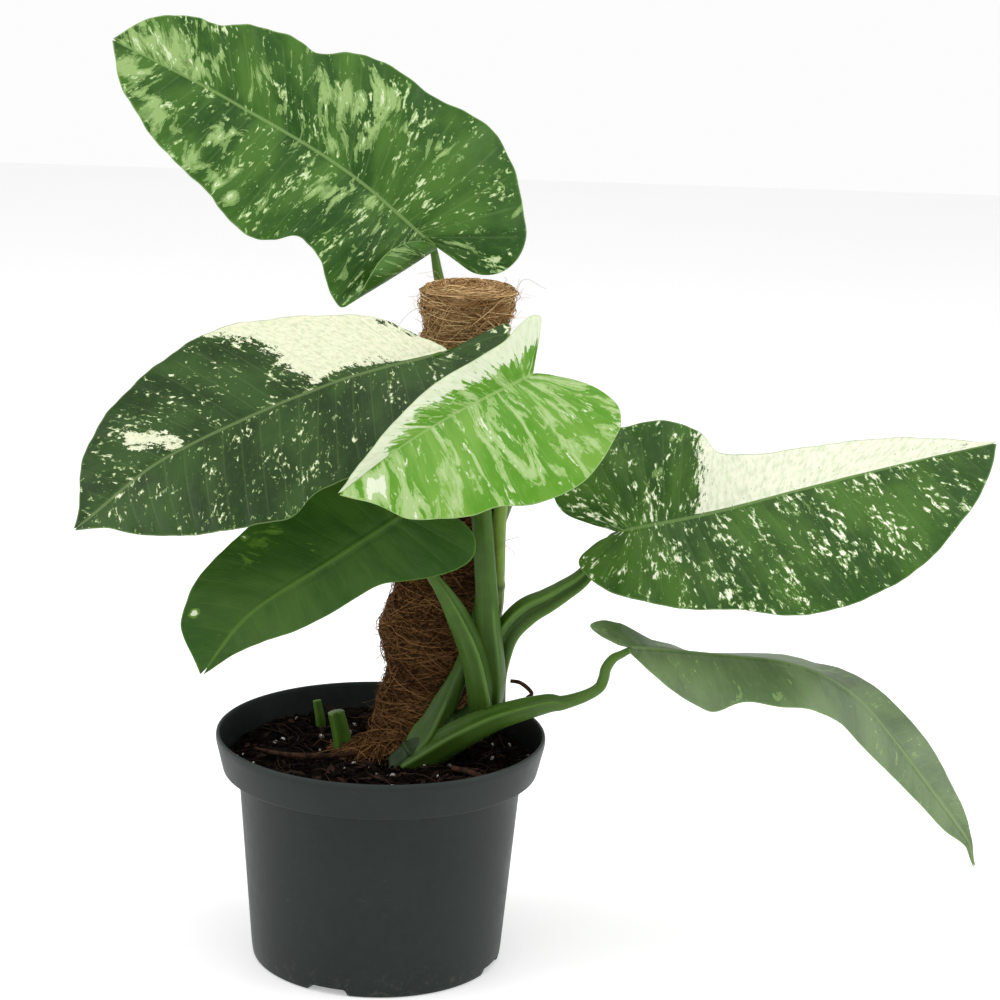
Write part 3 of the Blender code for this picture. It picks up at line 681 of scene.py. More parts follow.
def outline_depth(along: Array, across: Array, outline: Sequence[tuple[float, float]]) -> Array:
    """Distance to a closed outline, positive inside it.

    The distance is the smallest one to any edge, and a point is inside where a ray along the
    midrib crosses the outline an odd number of times.
    """
    corners = np.asarray(outline, dtype=float)
    nearest = np.full(along.shape, np.inf)
    inside = np.zeros(along.shape, bool)
    for start, end in zip(corners, np.roll(corners, -1, axis=0)):
        edge = end - start
        t = ((along - start[0]) * edge[0] + (across - start[1]) * edge[1]) / max(edge @ edge, 1e-9)
        t = np.clip(t, 0, 1)
        gap = np.hypot(along - start[0] - t * edge[0], across - start[1] - t * edge[1])
        nearest = np.minimum(nearest, gap)
        spans = (start[1] > across) != (end[1] > across)
        rise = edge[1] if abs(edge[1]) > 1e-9 else 1e-9
        inside ^= spans & (along < start[0] + (across - start[1]) * edge[0] / rise)
    return np.where(inside, nearest, -nearest)


@dataclass
class LeafBlade:
    """One blade: two curved halves about a midrib, with sunken veins and a wavy margin."""

    name: str
    design: LeafDesign
    rows: int = 210
    columns: int = 46
    thickness: float = 0.55
    keel: tuple[float, float] = (1.0, 0.25)
    rib_height: float = 0.40
    furrow_depth: float = 0.38
    puff_height: float = 0.30
    groove_depth: float = 0.26
    ridge_below: float = 0.16
    long_ripple: float = 23.0
    short_ripple: float = 8.7

    def __post_init__(self) -> None:
        """Measure the midrib once."""
        self.curve = catmull_rom(self.design.midrib, 241)
        steps = np.linalg.norm(np.diff(self.curve, axis=0), axis=1)
        self.stations = np.concatenate([[0.0], np.cumsum(steps)])
        self.length = self.stations[-1]
        self.tangents = unit(np.gradient(self.curve, axis=0))

    def framed(self, along: Array) -> tuple[Array, Array, Array]:
        """Place, facing and sideways (tangent x facing) at distances along the midrib."""
        inside = np.clip(along, 0, self.length)
        place = np.stack([np.interp(inside, self.stations, self.curve[:, k]) for k in range(3)], -1)
        tangent = [np.interp(inside, self.stations, self.tangents[:, k]) for k in range(3)]
        tangent = unit(np.stack(tangent, -1))
        place = place + (along - inside)[..., None] * tangent
        share = (inside / self.length)[..., None]
        base, tip = (np.array(f, dtype=float) for f in self.design.facing)
        facing = base * (1 - share) + tip * share
        facing = unit(facing - np.sum(facing * tangent, -1, keepdims=True) * tangent)
        return place, facing, np.cross(tangent, facing)

    def folded(self, along: Array, across: Array, side: Side) -> tuple[Array, Array, Array]:
        """Roll what lies beyond the fold line around a cylinder of the fold's radius."""
        fold = self.design.fold_b if side is Side.B else None
        if fold is None:
            return along, across, np.zeros_like(along)
        line = unit(np.array(fold[2:4], dtype=float))
        radius, limit = fold[4], math.radians(abs(fold[5]))
        beyond = np.array([-line[1], line[0]])
        distance = np.maximum((np.stack([along, across], -1) - np.array(fold[0:2])) @ beyond, 0)
        angle = np.minimum(distance / radius, limit)
        straight = distance - radius * angle
        run = radius * np.sin(angle) + straight * np.cos(angle)
        rise = radius * (1 - np.cos(angle)) + straight * np.sin(angle)
        shift = run - distance
        return along + shift * beyond[0], across + shift * beyond[1], rise * math.copysign(1, fold[5])

    def half(self, along: Array, across: Array, side: Side) -> tuple[Array, Array]:
        """Point and upper normal on one half: an arc out from the midrib in its cross-section."""
        along, across, rise = self.folded(along, across, side)
        place, facing, sideways = self.framed(along)
        lift = np.array(self.design.lift_a if side is Side.A else self.design.lift_b, dtype=float)
        curl = self.design.curl_a if side is Side.A else self.design.curl_b
        start = np.radians(np.interp(along, lift[:, 0], lift[:, 1]))[..., None]
        bend = math.radians(curl) / 50.0
        end = start + bend * across[..., None]
        out = (np.sin(end) - np.sin(start)) / bend
        up = (np.cos(start) - np.cos(end)) / bend
        sign = 1.0 if side is Side.A else -1.0
        normal = facing * np.cos(end) - sign * sideways * np.sin(end)
        return place + sign * sideways * out + facing * up + normal * rise[..., None], normal

    def marks(self, along: Array, across: Array, side: Side, margin: Array) -> Array:
        """(cream depth, pale share, margin distance) of each point on one half."""
        cream = np.full(along.shape, -40.0)
        for where, outline in self.design.creams:
            if where is side:
                cream = np.maximum(cream, outline_depth(along, across, outline))
        pale = np.zeros(along.shape)
        for where, x, y, radius, share in self.design.blots:
            if where is side:
                gap = np.hypot(along - x, across - y)
                pale = np.maximum(pale, share * np.exp(-((gap / radius) ** 2)))
        return np.stack([np.clip(cream, -40, 40), pale, np.clip(margin, 0, 20)], -1)

    def surface(self) -> Surface:
        """The closed blade.

        Rows are vein lines and columns are equal shares along them. The upper sheet stands half
        a thickness above the middle surface plus relief: a raised rib between two furrows, a
        groove along each lateral vein with the blade puffed between them, and a wavy margin.
        """
        veins = catmull_rom(self.design.veins, self.rows)
        share = np.linspace(0, 1, self.columns + 1) ** 0.9
        sheets, reach, tones, spacing = [], [], [], []
        for side, first in ((Side.A, 1), (Side.B, 3)):
            along = veins[:, :1] + (veins[:, first:first + 1] - veins[:, :1]) * share
            across = veins[:, first + 1:first + 2] * share
            length = np.hypot(veins[:, first] - veins[:, 0], veins[:, first + 1])[:, None]
            points, normals = self.half(along, across, side)
            middle = points[:, int(0.6 * self.columns)]
            spacing.append(np.linalg.norm(np.diff(middle, axis=0), axis=1))
            tones.append(self.marks(along, across, side, (1 - share) * length))
            reach.append(share * length * (1 if side is Side.A else -1))
            sheets.append((points, normals))

        def both(a: Array, b: Array) -> Array:
            """Half B turned over, then half A: one grid across the whole blade."""
            return np.concatenate([b[:, :0:-1], a], axis=1)

        points = both(sheets[0][0], sheets[1][0])
        normals = both(sheets[0][1], sheets[1][1])
        tone = both(tones[0], tones[1])
        beside = tone[:, self.columns - 1, 0], tone[:, self.columns + 1, 0]
        tone[:, self.columns, 0] = np.minimum(*beside)
        along_vein = both(reach[0], reach[1])
        across_vein = np.concatenate([[0.0], np.cumsum((spacing[0] + spacing[1]) / 2)])[:, None]
        gap = self.design.finish.vein_gap * 10
        shares = share[None] * np.ones((self.rows, 1))
        side_share = both(shares, shares)
        fade = 1 - 0.7 * np.linspace(0, 1, self.rows)[:, None]
        off = np.abs(along_vein)
        rib = (self.rib_height * bell(off, 0, 1.0) - self.furrow_depth * bell(off, 2.1, 1.0)) * fade
        from_vein = np.abs((across_vein / gap + 0.5) % 1 - 0.5) * gap
        reach_mask = ease(side_share, 0.03, 0.16) * (1 - ease(side_share, 0.72, 1.0))
        puffs = self.puff_height * ease(from_vein, 0, gap / 2)
        grooves = puffs - self.groove_depth * bell(from_vein, 0, 0.65)
        relief = rib + reach_mask * grooves * self.design.relief
        seed = self.design.seed
        broad = 0.9 * lumps(points, 34.0, seed, 2) + 0.25 * lumps(points, 9.0, seed + 5, 2)
        turn = across_vein * 2 * math.pi
        wave = np.sin(turn / self.long_ripple + 2.0 * np.sign(along_vein))
        wave = (wave + 0.4 * np.sin(turn / self.short_ripple)) * self.design.wave * side_share**4
        down = np.linspace(0, 1, self.rows)
        end = (ease(down, 0.0, 0.04) * (1 - ease(down, 0.96, 1.0)))[:, None]
        middle = points + normals * ((broad + wave) * end)[..., None]
        edge_thin = 1 - 0.45 * side_share**6
        upper = middle + normals * (self.thickness / 2 * edge_thin + relief * end)[..., None]
        keel = np.interp(down, [0, 1], self.keel)[:, None] * bell(off, 0, 1.2) * end
        ridge = self.ridge_below * bell(from_vein, 0, 0.6) * reach_mask * self.design.relief
        below = self.thickness / 2 * edge_thin + keel + ridge - relief * end * 0.6
        lower = middle - normals * below[..., None]

        width = 2 * self.columns + 1
        under = self.rows * width
        top_quads = grid_quads(self.rows, width, False)
        low_quads = top_quads[:, ::-1] + under
        row, column = np.arange(self.rows) * width, np.arange(width)
        ring = np.concatenate([column, row[1:] + width - 1, row[-1] + column[-2::-1], row[-2:0:-1]])
        following = np.roll(ring, -1)
        rim = np.stack([under + ring, under + following, following, ring], -1)
        vein = np.stack([np.broadcast_to(across_vein, off.shape) / 10, along_vein / 10,
                         np.zeros_like(off)], -1)
        vein_low = vein + (0, 0, 1)
        values = {"vein": np.concatenate([vein.reshape(-1, 3), vein_low.reshape(-1, 3)]),
                  "tone": np.concatenate([tone.reshape(-1, 3)] * 2)}
        corners = np.concatenate([upper.reshape(-1, 3), lower.reshape(-1, 3)])
        return Surface(corners, np.concatenate([top_quads, low_quads, rim]), values=values)

    def build(self, pattern: bpy.types.NodeTree) -> bpy.types.Object:
        """Make the blade's piece with its own finish."""
        look = self.design.finish.material(self.name + "_blade", pattern)
        return self.surface().piece(self.name + "_blade", look, self.design.finish.slot, [self.name])


LEAVES: dict[str, LeafDesign] = {
    "leaf_top": LeafDesign(
        midrib=[(15, 66, 326), (-25, 60, 359), (-75, 50, 389), (-129, 38, 417)],
        facing=[(0.15, -0.85, 0.50), (0.15, -0.85, 0.50)],
        lift_a=[(0, 6), (173, 6)], lift_b=[(0, 6), (173, 6)],
        fold_b=(2.5, 4, 16, 46, 5, 205),
        veins=[
            (0, -8, 1, -4, 3), (1, -26, 3, -10, 9), (2, -36, 12, -14, 18), (3, -38, 25, -13, 27),
            (4.5, -34, 36, -9, 35), (7, -23, 47, -2, 43), (11, -9, 58, 7, 50), (17, 6, 65, 14, 55),
            (24, 24, 62, 25, 51), (33, 42, 57, 40, 43), (44, 62, 57, 56, 41), (56, 76, 51, 67, 49),
            (68, 88, 43, 80, 54), (82, 104, 43, 96, 50), (98, 120, 38, 110, 44),
            (116, 134, 30, 130, 39), (134, 148, 27, 148, 30), (153, 164, 16, 164, 17),
            (172, 174, 0.6, 174, 0.6),
        ],
        blots=[
            (Side.A, 74, 27, 8, 0.8), (Side.A, 56, 38, 9, 0.9), (Side.A, 48, 31, 7, 0.9),
            (Side.A, 64, 32, 7, 0.8), (Side.A, 63, 9, 7, 0.8), (Side.A, 70, 18, 6, 0.7),
            (Side.A, 92, 10, 5, 0.6), (Side.A, 160, 7, 11, 1.1), (Side.A, 147, 8, 9, 1.1),
            (Side.A, 134, 5, 6, 0.9), (Side.A, 141, 26, 6, 0.6), (Side.A, 128, 14, 8, 0.6),
            (Side.A, 94, 35, 7, 0.6), (Side.A, 108, 18, 6, 0.6), (Side.A, 24, 38, 6, 0.7),
            (Side.B, 51, 13, 9, 0.7), (Side.B, 34, 4, 6, 0.7), (Side.B, 25, 14, 5, 0.5),
            (Side.B, 148, 19, 7, 0.7), (Side.B, 139, 24, 7, 0.7), (Side.B, 120, 36, 6, 0.7),
            (Side.B, 112, 20, 7, 0.7), (Side.B, 106, 39, 4, 1.1), (Side.B, 96, 41, 4, 0.9),
            (Side.B, 96, 30, 5, 0.6), (Side.B, 161, 10, 8, 0.8),
        ],
        finish=LeafFinish(
            Slot.MARBLED, deep=(0.020, 0.072, 0.007), mid=(0.066, 0.165, 0.020),
            pale=(0.300, 0.450, 0.155), cream=(0.620, 0.720, 0.440), patch_level=0.600,
            speck_level=0.605, fleck_level=0.66, seed=1.7),
        wave=0.8, relief=0.5, seed=11),
    "leaf_left": LeafDesign(
        midrib=[(26, -6, 288), (-28, -13, 272), (-95, -21, 240), (-135, -28, 208)],
        facing=[(0.0, -0.68, 0.73), (0.0, -0.68, 0.73)],
        lift_a=[(0, 6), (185, 6)], lift_b=[(0, 6), (185, 6)], curl_b=-14.0,
        veins=[
            (0, 0.5, 2, -14, -4), (1, 3, 5, -29, -7), (2, 6, 8, -28, 1), (3.5, 10, 11, -20, 10),
            (6, 16, 17, -12, 23), (10, 25, 26, -2, 34), (17, 38, 32, 14, 43), (28, 55, 39, 34, 48),
            (44, 74, 46, 55, 49.5), (60, 92, 51, 76, 50), (78, 107, 50, 92, 56), (96, 123, 46, 110, 52),
            (116, 141, 38.5, 130, 46), (138, 156, 30, 149, 37), (158, 169, 20, 165, 23),
            (173, 178, 8, 175, 9), (184, 186, 0.6, 186, 0.6),
        ],
        creams=[
            (Side.A, [(-12, -2), (20, 1), (48, 6), (60, 3), (71, 18), (75, 32), (92, 47), (116, 60),
                      (20, 60), (24, 24), (13, 13), (6, 12)]),
            (Side.A, [(124, -1), (136, 7), (146, 15), (143, 23), (134, 15), (127, 6)]),
        ],
        blots=[(Side.B, 42, 26, 9, 0.35), (Side.B, 59, 46, 7, 0.35), (Side.B, 112, 27, 9, 0.35),
               (Side.A, 104, 20, 6, 0.6), (Side.A, 92, 30, 5, 0.5)],
        finish=LeafFinish(
            Slot.CREAM_HALF, deep=(0.015, 0.042, 0.006), mid=(0.038, 0.088, 0.016),
            pale=(0.220, 0.320, 0.110), cream=(0.800, 0.820, 0.600), patch_level=0.700,
            speck_level=0.600, fleck_level=0.66, stretch=1.6, seed=5.1),
        wave=0.5, relief=0.35, seed=23),
    "leaf_center": LeafDesign(
        midrib=[(64, -16, 281), (32, -34, 267), (6, -52, 253), (-19, -64, 234)],
        facing=[(0.0, -0.70, 0.70), (0.0, -0.70, 0.70)],
        lift_a=[(0, 50), (107, 45)], lift_b=[(0, 0), (107, 0)], curl_a=-40.0, curl_b=-22.0,
        fold_b=(0, 0, -18, 40, 4, -30),
        veins=[
            (0, -5, 8, -8, 2), (1, -12, 17, -18, 6), (2, -14, 22, -27, 16), (3.2, -9, 24, -30, 28),
            (4.8, -1, 22, -24, 38), (7, 7, 19, -14, 45), (10, 16, 18, -3, 51), (15, 26, 17, 8, 55),
            (22, 37, 16.5, 22, 55.5), (31, 48, 15.5, 38, 53), (42, 60, 13, 54, 47), (54, 71, 10.5, 67, 44),
            (66, 81, 7.5, 80, 37), (80, 91, 5, 91, 28), (93, 98, 3, 97, 15), (104, 106, 0.6, 106, 0.6),
        ],
        creams=[(Side.A, [(-40, 14), (14, 9), (30, 9), (52, 9), (73, 5), (82, -2), (115, -2), (115, 60),
                          (-40, 60)])],
        blots=[(Side.B, 92, 10, 9, 0.5), (Side.B, 60, 30, 22, 0.12), (Side.B, 84, 24, 10, 0.3)],
        finish=LeafFinish(
            Slot.PALE, deep=(0.100, 0.290, 0.016), mid=(0.200, 0.400, 0.055),
            pale=(0.400, 0.560, 0.230), cream=(0.740, 0.800, 0.600), under=(0.30, 0.46, 0.16),
            patch_level=0.520, speck_level=0.620, stretch=3.4, seed=8.3),
        wave=0.4, relief=0.3, seed=31),
    "leaf_lower_left": LeafDesign(
        midrib=[(12, -17, 218), (-22, -22, 195), (-58, -30, 171), (-79, -38, 144)],
        facing=[(0.0, -0.80, 0.60), (0.0, -0.80, 0.60)],
        lift_a=[(0, 5), (121, 5)], lift_b=[(0, -10), (121, -38)], curl_b=-5.0,
        veins=[
            (0, -4, 2, -5, 3), (1, -10, 6, -11, 9), (2, -15, 14, -16, 17), (3.5, -14, 23, -17, 26),
            (5.5, -7, 31, -12, 33), (9, 6, 36, -3, 34), (15, 22, 39, 8, 31), (23, 38, 39, 19, 26),
            (32, 52, 38, 30, 21), (42, 64, 35, 43, 20), (54, 76, 32, 58, 20), (68, 88, 30, 74, 18.5),
            (84, 99, 26, 90, 14), (101, 110, 19.5, 105, 7), (116, 121, 0.6, 120, 0.6),
        ],
        blots=[(Side.A, 66, 24, 11, 0.9), (Side.A, 48, 12, 9, 0.6), (Side.A, 58, 28, 8, 0.9),
               (Side.A, 101, 19.5, 2.6, 1.9), (Side.A, 70, 31, 2.4, 1.9)],
        finish=LeafFinish(
            Slot.DARK, deep=(0.028, 0.085, 0.010), mid=(0.055, 0.130, 0.017),
            pale=(0.120, 0.250, 0.028), cream=(0.700, 0.780, 0.560), patch_level=0.690,
            speck_level=0.80, seed=14.9, vein_gap=1.1),
        wave=0.4, relief=0.45, seed=43),
    "leaf_right": LeafDesign(
        midrib=[(106, 8, 204), (157, 5, 218), (215, 0, 237), (272, -8, 255)],
        facing=[(0.0, -0.75, 0.65), (0.0, -0.75, 0.65)],
        lift_a=[(0, 8), (174, 8)], lift_b=[(0, 8), (174, 8)],
        veins=[
            (0, -4, 1, -3, 2), (1, -13, 4, -12, 7), (2, -20, 10, -23, 15), (3, -18, 18, -26, 27),
            (4.5, -12, 26, -18, 42), (7, -3, 33, -4, 51), (13, 10, 39.5, 12, 52), (23, 28, 47, 32, 50),
            (34, 47, 51, 46, 40), (46, 66, 59, 53, 28), (64, 88, 62, 73, 22), (88, 112, 59, 100, 18.5),
            (112, 134, 51, 127, 14.5), (136, 156, 33, 148, 9), (158, 169, 16, 166, 3),
            (173, 175, 0.6, 175, 0.6),
        ],
        creams=[(Side.B, [(35, 0), (41, 12), (44, 25), (45, 42), (47, 80), (190, 80), (190, 0)])],
        blots=[(Side.B, 30, 42, 5, 0.5), (Side.B, 22, 24, 4, 0.6), (Side.B, 8, 40, 4, 0.5),
               (Side.A, 70, 25, 9, 0.3), (Side.A, 40, 22, 7, 0.4), (Side.A, 96, 30, 8, 0.3)],
        finish=LeafFinish(
            Slot.CREAM_HALF, deep=(0.026, 0.078, 0.010), mid=(0.070, 0.165, 0.020),
            pale=(0.240, 0.380, 0.120), cream=(0.900, 0.920, 0.740), patch_level=0.660,
            speck_level=0.575, fleck_level=0.64, stretch=2.2, seed=20.5),
        wave=0.5, relief=0.4, seed=57),
    "leaf_lower_right": LeafDesign(
        midrib=[(113, -14, 156), (160, -14, 154), (190, -14, 150), (214, -14, 138), (236, -14, 115),
                (256, -14, 90), (271, -14, 70), (275, -14, 59)],
        facing=[(0.0, -0.35, 0.94), (0.5, -0.70, 0.40)],
        lift_a=[(0, 0), (205, 5)],
        lift_b=[(-20, 24), (-5, 18), (10, -20), (30, -40), (90, -37), (150, -5), (205, 5)],
        veins=[
            (0, -1, 1.5, -6, 1), (1, -1, 3, -14, 5), (2, 0, 5, -19, 10), (3.5, 3, 9, -13, 13.5),
            (6, 9, 17, -4, 13), (11, 18, 26, 9, 14), (19, 30, 34, 24, 22), (30, 38, 36, 42, 29),
            (42, 52, 28, 60, 31), (56, 70, 27, 77, 31), (72, 88, 22, 92, 27), (90, 106, 19, 107, 25),
            (110, 124, 18, 124, 23), (132, 142, 15, 142, 19), (154, 162, 11, 161, 15),
            (176, 182, 8, 182, 9), (194, 197, 2.5, 197, 2.5), (206, 208, 0.6, 208, 0.6),
        ],
        blots=[(Side.B, 31, 18, 6, 0.8), (Side.B, 42, 23, 6, 0.8), (Side.B, 45, 10, 5, 0.7),
               (Side.B, 59, 7, 6, 0.7), (Side.B, 90, 12, 8, 0.5), (Side.B, 15, 8, 4, 0.8)],
        finish=LeafFinish(
            Slot.GLOSSY, deep=(0.080, 0.140, 0.045), mid=(0.140, 0.220, 0.080),
            pale=(0.200, 0.330, 0.090), cream=(0.320, 0.480, 0.140), patch_level=0.640,
            speck_level=0.660, fleck_level=0.64, seed=27.3, coat=0.15, specular=0.40),
        wave=0.10, relief=0.20, seed=71),
}


# ---------------------------------------------------------------- stems
@dataclass(frozen=True)
class Stalk:
    """One stem or petiole.

    route holds (x, y, z, radius). channel points where the groove opens, groove is its depth as a
    share of the radius, sheath the share of the length that carries wings, and wing their height.
    """

    name: str
    route: Sequence[tuple[float, float, float, float]]
    channel: Point = (0.0, -1.0, 0.0)
    groove: float = 0.18
    sheath: float = 0.0
    wing: float = 0.35
    rings: int = 150
    sides: int = 40
    slot: Slot = Slot.PETIOLE
    rough: float = 0.02
    knots: Sequence[float] = ()
    knot_rise: float = 0.14

    def surface(self) -> Surface:
        """A tube whose radius is R (1 + wings - groove + knots).

        The wings are two bumps at 45 degrees from the channel along the sheath, the groove one
        dip at the channel, and each knot a ring-shaped swelling across the stalk.
        """
        curve = catmull_rom(self.route, self.rings)
        path, radius = curve[:, :3], curve[:, 3]
        side, other = carried_frames(path, self.channel)
        turn = np.linspace(-math.pi, math.pi, self.sides, endpoint=False)
        share = np.linspace(0, 1, self.rings)[:, None]
        steps = np.linalg.norm(np.diff(path, axis=0), axis=1)
        length = np.concatenate([[0.0], np.cumsum(steps)])[:, None]
        wings = bell(np.abs(turn), 0.80, 0.30)[None] * self.wing
        wings = wings * (ease(share, self.sheath, self.sheath * 0.72) if self.sheath else 0.0)
        dip = self.groove * bell(turn, 0, 0.55)[None] * ease(share, 0.0, 0.15)
        rises = (self.knot_rise * bell(length, knot, 1.6) for knot in self.knots)
        knots = sum(rises, np.zeros_like(length))
        scale = 1 + wings - dip + knots
        ring = side[:, None] * np.cos(turn)[:, None] + other[:, None] * np.sin(turn)[:, None]
        points = path[:, None] + ring * (radius[:, None] * scale)[..., None]
        uneven = 1 + self.rough * lumps(points, 7.0, 3, 3)
        points = path[:, None] + ring * (radius[:, None] * scale * uneven)[..., None]
        around = np.stack(np.broadcast_arrays(np.cos(turn)[None], np.sin(turn)[None], length / 10), -1)
        ridge = np.maximum(wings / max(self.wing, 1e-6), 0) * np.ones_like(scale)
        knotted = np.clip(knots / self.knot_rise, 0, 1) * np.ones_like(scale)
        tone = np.stack(np.broadcast_arrays(share, ridge, knotted), -1)
        return Surface.lofted(points, {"around": around, "tone": tone})

    def build(self, look: bpy.types.Material) -> bpy.types.Object:
        """Make the stalk's piece."""
        return self.surface().piece(self.name + "_stalk", look, self.slot, [self.name])


@dataclass(frozen=True)
class StalkFinish:
    """Streaked green skin: base to tip tones, pale wing edges, dark knots and painted shade along the
    channel groove.
    """

    low: Colour
    high: Colour
    streak: Colour
    knot: Colour = (0.020, 0.045, 0.012)
    # how strongly painted shade darkens the channel groove; 0 leaves it unshaded
    groove_shade: float = 0.0
    roughness: float = 0.34

    def material(self, name: str) -> bpy.types.Material:
        """Build the material from the stalk's own stored values."""
        made, kit, shader = new_material(name, Specular_IOR_Level=0.22,
                                         Subsurface_Weight=0.08, Subsurface_Scale=0.002,
                                         Subsurface_Radius=(0.4, 1.0, 0.2))
        cosine, sine, length = kit.parts(kit.stored("around"))
        share, ridge, knotted = kit.parts(kit.stored("tone"))
        drawn = kit.vector(kit.math("MULTIPLY", cosine, 3.0), kit.math("MULTIPLY", sine, 3.0),
                           kit.math("MULTIPLY", length, 0.16))
        streaks = kit.noise(drawn, 2.2, 5.0, 0.65)
        blotches = kit.noise(kit.place(), 90.0, 4.0, 0.6)
        up_stalk = kit.step(kit.add_scaled(share, blotches, 0.5, -0.5), 0.05, 0.65)
        colour = kit.mix(up_stalk, self.low, self.high)
        colour = kit.tint(colour, kit.step(streaks, 0.50, 0.78), 0.35, self.streak)
        colour = kit.tint(colour, kit.step(blotches, 0.60, 0.40), 0.22, self.low)
        colour = kit.tint(colour, kit.step(ridge, 0.72, 0.98), 0.5, self.streak)
        # Painted shade: the channel groove is turned towards a mix of the low and knot tones.
        inner = kit.mix(0.55, self.low, self.knot)
        colour = kit.mix(kit.math("MULTIPLY", kit.step(cosine, 0.80, 0.97), self.groove_shade), colour, inner)
        colour = kit.tint(colour, knotted, 0.7, self.knot)
        kit.feed(shader.inputs["Base Color"], colour)
        kit.feed(shader.inputs["Roughness"], kit.add_scaled(self.roughness, blotches, 0.2, -0.4))
        add_bump(kit, shader, streaks, 0.0003, 0.7)
        return made


MAIN_STEM = Stalk("main_stem", [
    (5, -8, 89, 7.0), (14, -5, 96, 8.0), (25, -3, 104, 8.0), (37, 0, 111, 7.5), (49, 3, 118, 7.0),
    (54, 5, 121, 6.0)], slot=Slot.STEM, rough=0.06, groove=0.0, knots=(14, 26, 38, 47))
PETIOLES: Sequence[Stalk] = (
    Stalk("petiole_top", [
        (14, -6, 95, 5.0), (22, -3, 105, 7.0), (27, -1, 115, 5.5), (34, 2, 132, 4.5),
        (40, 5, 147, 4.2), (44, 7, 163, 4.0),
        (46, 10, 179, 4.0), (48, 11, 198, 4.0), (55, 24, 218, 3.8), (56, 41, 234, 3.6),
        (47, 54, 252, 3.4), (35, 59, 272, 3.2), (26, 61, 291, 2.8), (20, 62, 308, 2.5),
        (17, 68, 320, 1.9), (15.5, 66.6, 324.6, 1.7),
        (11, 66, 328.6, 1.1)], channel=(-0.6, -0.5, 0.6), sheath=0.20),
    Stalk("petiole_left", [
        (50, 2, 119, 5.6), (51, -4, 140, 5.5), (48, -5, 164, 5.3), (46, -5, 185, 5.0),
        (43, -4, 216, 4.7), (40, -3, 243, 4.2), (36, -2, 266, 3.4), (30, 0, 280, 2.6),
        (27, 1, 285, 2.0), (26, -3.6, 287, 1.7), (20, -7.4, 286, 1.1)],
        channel=(-0.3, -1.0, 0.0), groove=0.16, sheath=0.30, wing=0.16),
    Stalk("petiole_center", [
        (49, 5, 118, 3.4), (51, 14, 139, 3.2), (51, 11, 157, 3.1), (52, 5, 171, 3.0), (52, 3, 185, 3.0),
        (52, 3, 215, 3.3), (57, 2, 243, 3.2), (62, -3, 265, 2.6), (65, -9, 276, 1.8),
        (64, -14, 279.4, 1.5), (59, -18.5, 278.2, 1.0)],
        channel=(1.0, -0.4, 0.0), knots=(64,)),
    Stalk("petiole_lower_left", [
        (46, 1, 117, 6.0), (45, -9, 132, 6.0), (41, -10, 149, 5.6), (34, -10, 165, 4.6),
        (27, -11, 178, 3.2), (21, -11, 188, 2.6), (17, -11, 202, 2.2), (13, -12, 213, 1.7),
        (12, -15.6, 216.6, 1.4), (7, -18.6, 214.6, 1.0)],
        channel=(0.9, -0.5, 0.3), groove=0.30, sheath=0.55, wing=0.42),
    Stalk("petiole_right", [
        (51, 4, 119, 5.4), (51, 4, 133, 5.4), (53, 3, 147, 5.6), (57, 3, 158, 5.8), (65, 3, 167, 6.0),
        (74, 4, 172, 5.2), (81, 6, 176, 4.6), (90, 9, 182, 3.8), (98, 11, 192, 2.8),
        (103, 12, 200, 1.9), (105.6, 9, 202.6, 1.6), (111, 7.8, 204.4, 1.2)],
        channel=(0.25, -0.85, -0.45), groove=0.55, sheath=0.85, wing=0.26),
    Stalk("petiole_lower_right", [
        (12, -9, 93, 5.0), (24, -10, 101, 6.5), (38, -15, 112, 6.2), (55, -15, 121, 5.2),
        (75, -16, 128, 4.0),
        (83, -16, 129, 3.0), (93, -16, 133, 2.7), (99, -16, 137, 2.6), (101, -15, 141, 2.6),
        (102, -15, 146, 2.5), (105, -14, 150.4, 2.2), (109, -14, 152.8, 1.8),
        (113, -14, 154.9, 1.5), (118, -14, 155.0, 1.0)],
        channel=(-0.2, -0.3, 1.0), groove=0.24, sheath=0.50, wing=0.30),
)
STUBS: Sequence[Stalk] = (
    Stalk("cut_stub_left", [(-19, 10, 88, 4.0), (-19, 10, 100, 4.0), (-22, 10, 113, 3.6)],
          channel=(0.5, -1.0, 0.0), groove=0.55, wing=0.3, sheath=1.4, rings=40),
    Stalk("cut_stub_small", [(-31, 44, 89, 2.4), (-31, 44, 97, 2.4), (-33, 45, 107, 2.0)],
          channel=(0.5, -1.0, 0.0), groove=0.4, rings=30),
)
DRY_PARTS: Sequence[Stalk] = (
    Stalk("dried_shoot", [(59, 8, 131.5, 0.9), (64, 8, 130.5, 0.9), (69, 8, 126, 0.9),
                          (67, 8, 123.5, 0.8)],
          slot=Slot.ROOT, rough=0.25, groove=0.0, rings=40, sides=12),
    Stalk("surface_root_long", [(-12, -4, 97.6, 1.2), (-28, -12, 98.6, 1.3), (-44, -12, 98.8, 1.2),
                                (-58, -4, 98.4, 0.9)],
          slot=Slot.ROOT, rough=0.3, groove=0.0, rings=60, sides=12),
    Stalk("surface_root_short", [(34, -22, 98.4, 1.2), (44, -30, 98.8, 1.2), (50, -38, 98.6, 0.9)],
          slot=Slot.ROOT, rough=0.3, groove=0.0, rings=40, sides=12),
)
FRESH_GREEN = StalkFinish(low=(0.045, 0.100, 0.012), high=(0.080, 0.170, 0.022),
    streak=(0.130, 0.250, 0.040))
LIME_GREEN = StalkFinish(low=(0.090, 0.160, 0.020), high=(0.200, 0.320, 0.045),
    streak=(0.300, 0.420, 0.080))
STEM_GREEN = StalkFinish(low=(0.016, 0.036, 0.008), high=(0.030, 0.065, 0.014),
    streak=(0.060, 0.110, 0.026))

# Petiole green with painted shade along its channel groove.
GROOVE_SHADED_GREEN = StalkFinish(low=(0.050, 0.110, 0.014), high=(0.085, 0.180, 0.024),
                           streak=(0.140, 0.270, 0.045), groove_shade=0.85)


